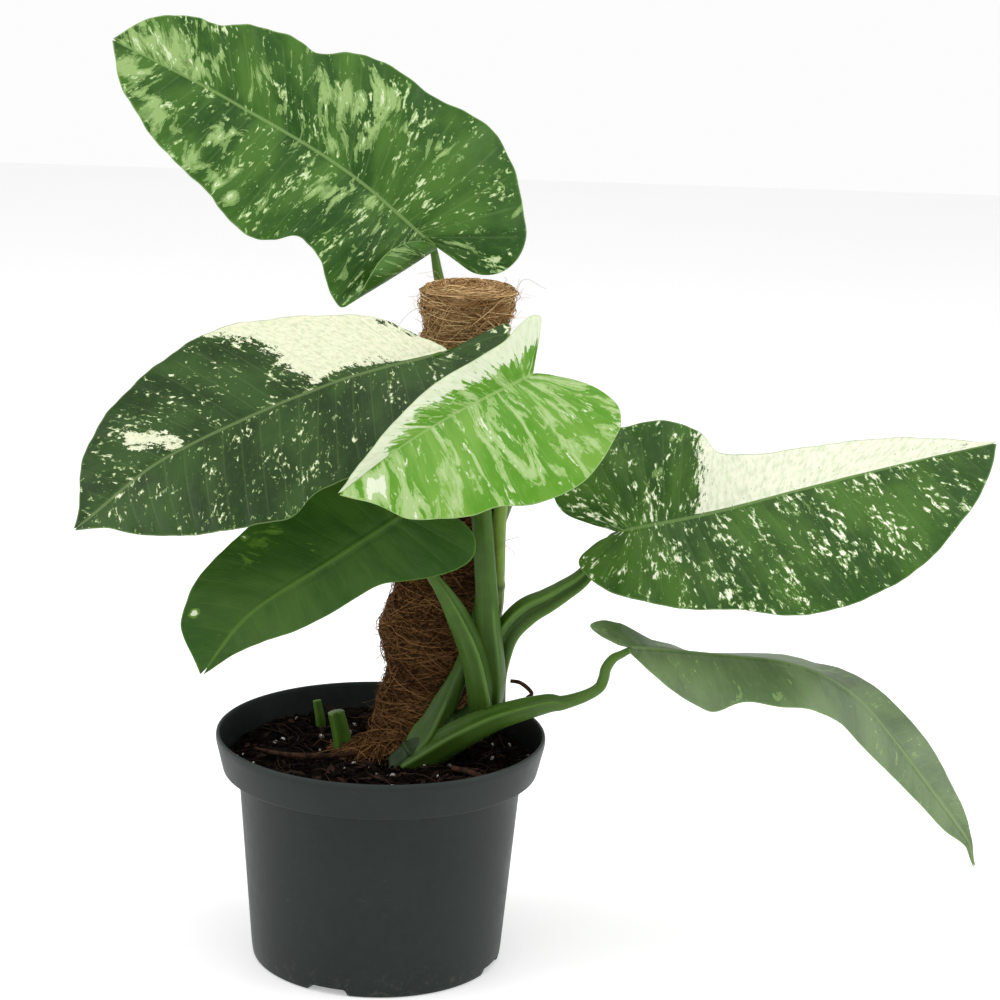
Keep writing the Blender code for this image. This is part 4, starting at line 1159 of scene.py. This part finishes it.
# ---------------------------------------------------------------- pot
@dataclass
class NurseryPot:
    """Thin tapered pot with a stepped rim band and four notches at the foot."""

    top_radius: float = 76.0
    height: float = 108.0
    base_radius: float = 58.0
    wall: float = 1.5
    band_height: float = 17.5
    band_radius: float = 72.5
    wall_top_radius: float = 65.5
    segments: int = 320
    slot_first: float = -110.0
    slot_count: int = 4
    slot_width: float = 21.0
    slot_height: float = 3.2

    def outline(self) -> Array:
        """(radius, height) from the base's middle, up the outside and down the inside, rounded."""
        low, r, w = self.height - self.band_height, self.base_radius, self.wall
        corners = [
            (0, 0.9, 0), (r - 12, 0.9, 2), (r - 9, 0.0, 1.5), (r - 0.2, 0.0, 1.6), (r + 0.5, 4.5, 1.5),
            (self.wall_top_radius - 0.1, low - 0.5, 1.8), (self.band_radius, low, 0.9),
            (self.top_radius - 0.1, self.height - 3.2, 0.8), (self.top_radius, self.height - 1.6, 0.6),
            (self.top_radius - 0.3, self.height, 0.7), (self.top_radius - w, self.height, 0.7),
            (self.band_radius - w, low + w + 0.4, 1.0), (self.wall_top_radius - w, low + w, 0.8),
            (r - w + 0.4, 3.0, 1.5), (r - w - 1.5, w, 1.2), (0, w, 0),
        ]
        rows = [np.array([corners[0][:2]], dtype=float)]
        bend = np.linspace(0, 1, 6)[:, None]
        for before, here, after in zip(corners, corners[1:], corners[2:]):
            middle = np.array(here[:2], dtype=float)
            start = middle + unit(np.array(before[:2]) - middle) * here[2]
            end = middle + unit(np.array(after[:2]) - middle) * here[2]
            rows.append((1 - bend) ** 2 * start + 2 * bend * (1 - bend) * middle + bend**2 * end)
        rows.append(np.array([corners[-1][:2]], dtype=float))
        turned = np.vstack(rows)
        fine = [turned[:1]]
        for start, end in zip(turned, turned[1:]):
            pieces = max(1, int(np.linalg.norm(end - start) / 7.0))
            fine.append(start + (end - start) * np.linspace(0, 1, pieces + 1)[1:, None])
        return np.vstack(fine)

    def surface(self) -> Surface:
        """The outline turned about Z, its low rows lifted over each notch.

        Rows of the inside are lifted by one wall more than those of the outside.
        """
        outline = self.outline()
        turn = np.linspace(0, 2 * math.pi, self.segments, endpoint=False)
        radius = outline[1:-1, :1]
        height = np.repeat(outline[1:-1, 1:], self.segments, axis=1)
        spacing = 360.0 / self.slot_count
        away = (np.degrees(turn) - self.slot_first + spacing / 2) % spacing - spacing / 2
        reach = np.abs(np.radians(away)) * self.base_radius
        notch = self.slot_height * ease(reach, self.slot_width / 2, self.slot_width / 2 - 2.2)
        inner = np.arange(len(radius))[:, None] > len(radius) * 0.62
        outward = ease(radius, self.base_radius - 8.0, self.base_radius - 5.0)
        lift = (notch[None] + inner * self.wall) * outward
        lifted = np.where(height < lift, lift, height)
        lifted = np.where((height < 6.0) & (notch[None] > 0.05), lifted, height)
        points = np.stack([radius * np.cos(turn), radius * np.sin(turn), lifted], -1)
        sag = 0.18 * np.sin(2 * turn + 0.6) * (lifted / self.height)
        points[..., :2] *= (1 + sag / self.top_radius)[..., None]
        return Surface.lofted(points)

    def build(self, grain: bpy.types.NodeTree) -> bpy.types.Object:
        """Make the pot with its satin, lightly scuffed skin."""
        look, kit, shader = new_material("satin_green_black_plastic", Specular_IOR_Level=0.22)
        place = kit.place()
        x, y, z = kit.parts(place)
        feeds = {"Vector": place, "Scale": 28.0, "Dark": (0.0100, 0.0150, 0.0135),
                 "Light": (0.0140, 0.0205, 0.0185), "Contrast": 1.6}
        group = kit.put("ShaderNodeGroup", feeds, node_tree=grain)
        drawn = kit.vector(kit.math("MULTIPLY", x, 0.35), kit.math("MULTIPLY", y, 0.35), z)
        rubs = kit.noise(drawn, 420.0, 3.0, 0.7, 0.6)
        patches = kit.noise(place, 34.0, 4.0, 0.6)
        scuffs = kit.math("MULTIPLY", kit.step(rubs, 0.63, 0.72), kit.step(patches, 0.47, 0.66))
        rim = kit.step(z, (self.height - 2.4) * MM, (self.height - 0.4) * MM)
        specks = kit.step(kit.noise(place, 260.0, 4.0, 0.7), 0.52, 0.66)
        dust = kit.math("MULTIPLY", specks, kit.step(z, 0.016, 0.0))
        colour = kit.mix(kit.math("MULTIPLY", scuffs, 0.30), group.outputs["Color"], (0.085, 0.105, 0.098))
        colour = kit.tint(colour, rim, 0.22, (0.060, 0.080, 0.074))
        colour = kit.tint(colour, dust, 0.45, (0.070, 0.066, 0.056))
        kit.feed(shader.inputs["Base Color"], colour)
        rough = kit.add_scaled(0.40, group.outputs["Mask"], 0.08)
        kit.feed(shader.inputs["Roughness"], kit.add_scaled(rough, scuffs, 0.22))
        fine = kit.noise(place, 1500.0, 2.0, 0.5)
        add_bump(kit, shader, kit.add_scaled(fine, rubs, 0.8), 0.00006, 0.6)
        return self.surface().piece("pot_shell", look, Slot.POT, ["nursery_pot"])


# ---------------------------------------------------------------- potting mix
@dataclass
class PottingMix:
    """Crumbly dark mix with bark, perlite, fibres and roots lying on it."""

    level: float = 95.5
    swell: float = 1.6
    edge: float = 70.3
    seed: int = 90

    def height(self, x: Array, y: Array) -> Array:
        """Gently uneven level: two crossed waves."""
        waves = np.sin(0.11 * x + 0.7) * np.cos(0.13 * y - 0.4) + 0.5 * np.sin(0.23 * x - 0.19 * y)
        return self.level + self.swell * waves / 1.5

    def relief(self, x: Array, y: Array) -> Array:
        """Level plus clods of 11 mm and crumbs of 3 mm."""
        flat = np.stack([x, y, np.zeros_like(x)], -1)
        clods, crumbs = 1.5 * lumps(flat, 11.0, 4, 2), 1.1 * np.abs(lumps(flat, 3.4, 9, 3))
        return self.height(x, y) + clods + crumbs - 0.5

    def surface(self) -> Surface:
        """Closed body: the pot's inside up to the edge, then rings of relief to the middle."""
        pot = NurseryPot()
        low, inside = pot.height - pot.band_height, pot.wall + 0.5
        sides = [(pot.base_radius - inside - 3, 2.0), (pot.base_radius - inside - 0.4, 5.0),
                 (pot.wall_top_radius - inside, low), (pot.wall_top_radius - inside, low + 2.4),
                 (self.edge, low + 2.7)]
        turn = np.linspace(0, 2 * math.pi, 300, endpoint=False)
        circle = np.stack([np.cos(turn), np.sin(turn)], -1)
        rings = [np.column_stack([circle * r, np.full(len(turn), z)]) for r, z in sides]
        for radius in np.linspace(self.edge, 0.4, 120):
            flat = circle * radius
            rings.append(np.column_stack([flat, self.relief(flat[:, 0], flat[:, 1])]))
        return Surface.lofted(np.array(rings))

    def scattered(self, rng: np.random.Generator, count: int, reach: float = 69.0) -> tuple[Array, Array]:
        """Random places over the disc, evenly by area."""
        radius, angle = reach * np.sqrt(rng.uniform(0, 1, count)), rng.uniform(0, 2 * math.pi, count)
        return radius * np.cos(angle), radius * np.sin(angle)

    def lying(self, count: int, sizes: Sequence[tuple[float, float]], rough: float, seed: int,
              tip: float = 0.5, extra: Sequence[tuple[float, float]] = (), sink: float = 0.25) -> Surface:
        """Small bodies lying on the mix.

        Args:
            count: how many random ones.
            sizes: lowest and highest half length along each axis.
            rough: how uneven the bodies are.
            seed: picks places and sizes.
            tip: largest tilt in radians.
            extra: places (x, y) that get one more body each.
            sink: share of the half height that is pressed in.

        Returns:
            One surface with all of them.
        """
        rng = np.random.default_rng(self.seed + seed)
        x, y = self.scattered(rng, count)
        x, y = np.append(x, [p[0] for p in extra]), np.append(y, [p[1] for p in extra])
        total = len(x)
        half = np.stack([rng.uniform(low, high, total) for low, high in sizes], -1)
        turns = np.stack([rng.uniform(-tip, tip, total), rng.uniform(-tip, tip, total),
                          rng.uniform(0, 2 * math.pi, total)], -1)
        centres = np.stack([x, y, self.relief(x, y) + half[:, 2] * (1 - sink)], -1)
        return pebbles(centres, half, turns, rough, self.seed + seed)

    def fibres(self, count: int, length: tuple[float, float], thick: float, seed: int) -> Surface:
        """Fine curved roots lying on the mix, following its relief a little above it."""
        rng = np.random.default_rng(self.seed + seed)
        x, y = self.scattered(rng, count, 62.0)
        steps = np.linspace(0, 1, 9)[None]
        heading = rng.uniform(0, 2 * math.pi, (count, 1)) + rng.uniform(-1.6, 1.6, (count, 1)) * steps
        step = rng.uniform(*length, (count, 1)) / 8
        px = x[:, None] + np.cumsum(np.cos(heading) * step, axis=1)
        py = y[:, None] + np.cumsum(np.sin(heading) * step, axis=1)
        far = np.maximum(np.hypot(px, py) / 69.0, 1)
        px, py = px / far, py / far
        arch = rng.uniform(0.2, 2.2, (count, 1)) * np.sin(math.pi * steps)
        path = np.stack([px, py, self.relief(px, py) + 0.3 + arch], -1)
        radius = thick * rng.uniform(0.5, 1.2, (count, 1)) * (1 - 0.6 * np.abs(2 * steps - 1) ** 3)
        return strands(path, radius, rng.uniform(0, 1, count), seed)

    def build(self, grain: bpy.types.NodeTree) -> None:
        """Make the mix and what lies on it."""
        self.surface().piece("mix_surface", PEAT.material("damp_peat", grain), Slot.SOIL,
                             ["potting_mix"])
        crumbs = self.lying(1500, [(0.7, 2.0), (0.6, 1.5), (0.4, 1.1)], 0.32, 1, 1.2)
        crumbs.piece("mix_crumbs", CRUMB.material("peat_crumb", grain), Slot.SOIL, sharp=0)
        chips = self.lying(85, [(2.2, 6.0), (1.0, 2.4), (0.5, 1.1)], 0.22, 2, 0.45,
                           [(2, -40), (-46, -30), (-12, 60), (56, 2)])
        chips.piece("bark_pieces", BARK.material("bark_brown", grain), Slot.BARK,
                    ["bark_chip_front", "bark_chip_left", "bark_chip_back", "bark_chip_right"], 35)
        beads = self.lying(70, [(0.5, 1.5), (0.5, 1.4), (0.4, 1.2)], 0.16, 3, 1.0,
                           [(33, -48), (-36, -40), (-50, 20), (60, -18)])
        beads.piece("perlite_grains", PERLITE.material("perlite_white", grain), Slot.PERLITE,
                    ["perlite_front", "perlite_left", "perlite_back", "perlite_right"], 50)
        threads = self.fibres(260, (8, 30), 0.24, 4)
        threads.piece("fine_roots", THREAD.material("root_brown", grain), Slot.ROOT)


# ---------------------------------------------------------------- coir pole
@dataclass
class CoirPole:
    """Pole wrapped in layers of loose coconut fibre, leaning a little to the right."""

    foot: Point = (14.0, 30.0, 28.0)
    top: Point = (34.2, 30.0, 309.0)
    radius: float = 22.0
    seed: int = 500
    lip_inset: float = 1.8
    lip_profile: Sequence[tuple[float, float]] = (
        (0.12, 1.2), (0.30, 2.0), (0.50, 1.9), (0.70, 0.9), (0.84, -1.4), (0.88, -6.0), (0.90, -15.0))

    def centre(self, height: Array) -> Array:
        """The leaning axis at a height, as (x, y)."""
        share = (height - self.foot[2]) / (self.top[2] - self.foot[2])
        x = self.foot[0] + (self.top[0] - self.foot[0]) * share
        return np.stack([x, np.full_like(x, self.foot[1])], -1)

    def wall(self, height: Array, turn: Array) -> Array:
        """Wrapped radius: a flare at the mix, a waist under the top, wads, and a left bulge."""
        flare = 1.5 * bell(height, 101.5, 16.0)
        waist = -3.6 * bell(height, 292.0, 7.0) - 1.6 * ease(height, 285.0, 305.0)
        left_side = np.clip(-np.cos(turn), 0, 1) ** 2
        pinches = 2.4 * bell(height, 170.0, 6.0) + 2.8 * bell(height, 127.0, 7.0)
        bulge = (3.6 * bell(height, 150.0, 9.0) - pinches) * left_side
        wads = 0.7 * np.sin(3 * turn + 0.05 * height) + 0.5 * np.sin(5 * turn - 0.09 * height)
        return self.radius + flare + waist + bulge + wads

    def on_wall(self, height: Array, turn: Array, out: Array) -> Array:
        """Point at a height and angle, out mm outside the wrapped wall."""
        reach = self.wall(height, turn) + out
        flat = self.centre(height) + np.stack([np.cos(turn), np.sin(turn)], -1) * reach[..., None]
        return np.concatenate([flat, height[..., None]], -1)

    def body(self) -> Surface:
        """Lumpy core: rings up the wall, over the rolled lip and down the dark hole."""
        turn = np.linspace(0, 2 * math.pi, 120, endpoint=False)[None]
        height = np.linspace(self.foot[2], self.top[2], 240)[:, None] + 0 * turn
        turns = turn + 0 * height
        points = self.on_wall(height, turns, np.full_like(height, -0.7))
        bumps = 1.5 * lumps(points, 9.0, 61, 2) + 0.7 * lumps(points * (1, 1, 2.5), 3.0, 63, 2)
        points = self.on_wall(height, turns, bumps - 0.9)
        lip = []
        around = turn[0]
        for inward, rise in self.lip_profile:
            reach = (self.radius - self.lip_inset) * (1 - inward) + 0.6 * np.sin(5 * around)
            lip.append(np.stack([self.top[0] + reach * np.cos(around),
                                 self.top[1] + reach * np.sin(around),
                                 self.top[2] + rise + 0.5 * np.sin(7 * around + 9 * inward)], -1))
        points = np.concatenate([points, np.array(lip)])
        shade = 0.5 + 0.5 * lumps(points, 6.0, 77, 2)
        return Surface.lofted(points, {"shade": shade})

    def wrap(self, count: int, seed: int, out: tuple[float, float] = (-0.5, 1.5)) -> Surface:
        """Fibres round the wall: each keeps a slope and a bend, and dips in at both ends."""
        rng = np.random.default_rng(self.seed + seed)
        steps = np.linspace(0, 1, 8)[None]
        low, high = 92.0, self.top[2] + 1.0
        start_height = rng.uniform(low, high, (count, 1))
        start_turn = rng.uniform(0, 2 * math.pi, (count, 1))
        slope = rng.normal(0, 0.55, (count, 1))
        length = rng.uniform(14, 46, (count, 1))
        around = length * np.cos(slope) / self.radius * steps
        rise = length * np.sin(slope) * steps + rng.normal(0, 2.4, (count, 1)) * np.sin(math.pi * steps)
        height = np.clip(start_height + rise, 90.0, self.top[2] + 1.2)
        away = out[0] + (out[1] - out[0]) * rng.uniform(0, 1, (count, 1)) * np.sin(math.pi * steps) ** 0.7
        away = away + 0.3 * np.sin(9 * steps + start_turn * 5)
        path = self.on_wall(height, start_turn + around * rng.choice([-1, 1], (count, 1)), away)
        radius = 0.19 * rng.uniform(0.55, 1.35, (count, 1)) * np.ones_like(steps)
        return strands(path, radius, rng.uniform(0, 1, count), seed)

    def crown(self, count: int, seed: int) -> Surface:
        """Fibres swirling over the rolled lip round the hole."""
        rng = np.random.default_rng(self.seed + seed)
        steps = np.linspace(0, 1, 8)[None]
        reach = rng.uniform(6.0, 21.5, (count, 1)) + rng.normal(0, 2.5, (count, 1)) * steps
        reach = np.clip(reach, 6.0, 20.8)
        turn = rng.uniform(0, 2 * math.pi, (count, 1)) + rng.uniform(0.4, 1.7, (count, 1)) * steps
        rolled = 2.6 * np.sin(math.pi * np.clip((reach - 3.0) / 20.0, 0, 1))
        rise = rolled + rng.uniform(-0.6, 1.5, (count, 1))
        rise = rise + 0.6 * np.sin(8 * steps + turn)
        path = np.stack([self.top[0] + reach * np.cos(turn), self.top[1] + reach * np.sin(turn),
                         self.top[2] + rise], -1)
        radius = 0.20 * rng.uniform(0.55, 1.3, (count, 1)) * np.ones_like(steps)
        return strands(path, radius, rng.uniform(0, 1, count), seed)

    def strays(self, count: int, seed: int) -> Surface:
        """Loose ends that leave the wall and curl away from it."""
        rng = np.random.default_rng(self.seed + seed)
        steps = np.linspace(0, 1, 9)[None]
        height = rng.uniform(96, self.top[2] + 1, (count, 1))
        turn = rng.uniform(0, 2 * math.pi, (count, 1))
        out = rng.uniform(2.0, 9.0, (count, 1)) * np.where(rng.uniform(0, 1, (count, 1)) > 0.88, 2.2, 1.0)
        turns = turn + rng.normal(0, 0.35, (count, 1)) * steps + 0.06 * np.sin(7 * steps + 9 * turn)
        rise = rng.normal(0.5, 5.0, (count, 1)) * steps + rng.normal(0, 1.8, (count, 1)) * np.sin(4 * steps)
        heights = np.clip(height + rise, 97.0, self.top[2] + 7.0)
        away = -0.6 + out * steps**1.4
        path = self.on_wall(heights, turns, away)
        radius = 0.12 * rng.uniform(0.6, 1.3, (count, 1)) * (1 - 0.5 * steps)
        return strands(path, radius, rng.uniform(0, 1, count), seed)

    def tuft(self, mix: PottingMix, count: int, seed: int) -> Surface:
        """Heap of shed fibre on the mix at the pole's front foot: arcs over a low mound."""
        rng = np.random.default_rng(self.seed + seed)
        steps = np.linspace(0, 1, 9)[None]
        angle, part = rng.uniform(0, 2 * math.pi, (count, 1)), np.sqrt(rng.uniform(0, 1, (count, 1)))
        x = 0.0 + 17.0 * part * np.cos(angle)
        y = 7.0 + 9.0 * part * np.sin(angle)
        heading = rng.uniform(0, 2 * math.pi, (count, 1)) + rng.normal(0, 1.2, (count, 1)) * steps
        step = rng.uniform(8, 24, (count, 1)) / 8
        px = x + np.cumsum(np.cos(heading) * step, axis=1) - 4 * step * np.cos(heading[:, :1])
        py = y + np.cumsum(np.sin(heading) * step, axis=1) - 4 * step * np.sin(heading[:, :1])
        mound = np.exp(-(((px - 2) / 17.0) ** 2) - ((py - 9) / 11.0) ** 2)
        lift = mound * rng.uniform(0.1, 1.0, (count, 1)) * 9.0 + 0.5
        lift = lift + rng.uniform(0, 1.6, (count, 1)) * np.sin(math.pi * steps)
        path = np.stack([px, py, mix.height(px, py) + lift], -1)
        radius = 0.19 * rng.uniform(0.55, 1.3, (count, 1)) * np.ones_like(steps)
        return strands(path, radius, rng.uniform(0, 1, count), seed)

    def material(self, name: str) -> bpy.types.Material:
        """Coconut fibre: tan at the dry top, red-brown lower down, each fibre its own tone."""
        look, kit, shader = new_material(name, Roughness=0.80, Specular_IOR_Level=0.08)
        place = kit.place()
        _, _, z = kit.parts(place)
        shade = kit.stored("shade", "Fac")
        wads = kit.noise(place, 75.0, 4.0, 0.6)
        band = kit.add_scaled(z, wads, 0.030, -0.5)
        dry = kit.step(band, 0.262, 0.298)
        dark_tone = kit.mix(dry, (0.060, 0.026, 0.009), (0.300, 0.160, 0.058))
        light_tone = kit.mix(dry, (0.430, 0.220, 0.085), (0.900, 0.640, 0.320))
        tone = kit.step(kit.add_scaled(shade, wads, 0.7, -0.5), 0.15, 1.05)
        kit.feed(shader.inputs["Base Color"], kit.mix(tone, dark_tone, light_tone))
        add_bump(kit, shader, kit.noise(place, 900.0, 3.0, 0.7), 0.0005)
        return look

    def build(self, mix: PottingMix) -> None:
        """Make the pole's body and its layers of fibre."""
        look = self.material("coconut_fibre")
        self.body().piece("pole_body", look, Slot.COIR, ["coir_pole"])
        self.wrap(3600, 1).piece("pole_wrap_inner", look, Slot.COIR)
        self.wrap(2600, 2, (-0.2, 3.0)).piece("pole_wrap_outer", look, Slot.COIR)
        self.crown(900, 3).piece("pole_crown", look, Slot.COIR)
        self.strays(900, 4).piece("pole_strays", look, Slot.COIR)
        self.tuft(mix, 900, 5).piece("pole_foot_tuft", look, Slot.COIR)


# ---------------------------------------------------------------- studio
@dataclass
class Studio:
    """Pale floor, soft lights and the camera."""

    eye: Point = (0.0514, -1.2151, 0.5127)
    tilt: float = 13.57
    roll: float = 1.9
    lens: float = 99.3
    sensor: float = 36.0
    floor_reach: float = 3.0

    def camera(self) -> None:
        """Aim the camera: pitched down by tilt about X, then rolled about its own axis."""
        tilt, roll = math.radians(self.tilt), math.radians(self.roll)
        right, up = np.array([1.0, 0, 0]), np.array([0, math.sin(tilt), math.cos(tilt)])
        back = np.array([0, -math.cos(tilt), math.sin(tilt)])
        across = math.cos(roll) * right + math.sin(roll) * up
        upright = -math.sin(roll) * right + math.cos(roll) * up
        data = bpy.data.cameras.new("studio_camera")
        data.lens, data.sensor_width = self.lens, self.sensor
        data.clip_start, data.clip_end = 0.02, 60.0
        made = linked("studio_camera", data)
        made.matrix_world = pose(across, upright, back, self.eye)
        bpy.context.scene.camera = made

    def light(self, name: str, place: Point, aim: Point, size: float, watts: float) -> None:
        """Add one square soft light aimed at a point."""
        data = bpy.data.lights.new(name, "AREA")
        data.energy, data.size = watts, size
        made = linked(name, data)
        back = unit(np.array(place) - np.array(aim))
        right = unit(np.cross((0, 0, 1), back)) if abs(back[2]) < 0.99 else np.array([1.0, 0, 0])
        made.matrix_world = pose(right, np.cross(back, right), back, place)

    def world(self) -> None:
        """Even white surroundings, brighter where the camera sees them directly."""
        world = bpy.data.worlds.new("white_room")
        world.use_nodes = True
        kit = NodeKit(world.node_tree)
        sky = world.node_tree.nodes["Background"]
        sky.inputs["Color"].default_value = (1.0, 1.0, 1.0, 1.0)
        seen = kit.put("ShaderNodeLightPath").outputs["Is Camera Ray"]
        kit.feed(sky.inputs["Strength"], kit.add_scaled(0.58, seen, 0.40))
        bpy.context.scene.world = world

    def floor(self) -> None:
        """Pale table top under the pot, reaching far past the plant."""
        look, kit, shader = new_material("pale_table", Roughness=0.5, Emission_Strength=0.36,
                                         Emission_Color=(1.0, 1.0, 1.0, 1.0))
        tone = kit.mix(kit.noise(kit.place(), 3.0, 2.0), (0.90, 0.90, 0.90), (0.93, 0.93, 0.93))
        kit.feed(shader.inputs["Base Color"], tone)
        reach = self.floor_reach
        mesh = bpy.data.meshes.new("table_top")
        corners = [(-reach, -reach, 0), (reach, -reach, 0), (reach, reach, 0), (-reach, reach, 0)]
        mesh.from_pydata(corners, [], [(0, 1, 2, 3)])
        mesh.materials.append(look)
        linked("table_top", mesh)

    def build(self) -> None:
        """Set up the whole studio."""
        bpy.context.scene.view_settings.view_transform = "Standard"
        self.camera()
        self.world()
        self.floor()
        self.light("window_left", (-1.5, -0.5, 1.1), (0.0, 0.0, 0.2), 1.2, 11.0)
        self.light("window_right", (1.5, -0.1, 0.9), (0.0, 0.0, 0.15), 1.2, 10.0)
        self.light("ceiling", (0.1, -0.3, 1.9), (0.05, 0.0, 0.1), 1.4, 12.0)


def main() -> None:
    """Build the studio, the pot, the mix, the pole, the stems and the leaves, and log each piece."""
    logging.basicConfig(level=logging.INFO, format="%(name)s %(message)s")
    Studio().build()
    grain, pattern = grain_group(), leaf_pattern_group()
    NurseryPot().build(grain)
    mix = PottingMix()
    mix.build(grain)
    CoirPole().build(mix)
    MAIN_STEM.build(STEM_GREEN.material("stem_dark_green"))
    green, lime = FRESH_GREEN.material("petiole_green"), LIME_GREEN.material("petiole_lime")
    # petiole_right takes the petiole material with painted shade in its groove.
    looks = {"petiole_center": lime, "petiole_right": GROOVE_SHADED_GREEN.material("petiole_groove_shaded")}
    for stalk in PETIOLES:
        stalk.build(looks.get(stalk.name, green))
    for stub in STUBS:
        stub.build(green)
    dry_look = DRY.material("dry_brown", grain)
    for part in DRY_PARTS:
        part.build(dry_look)
    for name, design in LEAVES.items():
        LeafBlade(name, design).build(pattern)


if __name__ == "__main__":
    main()
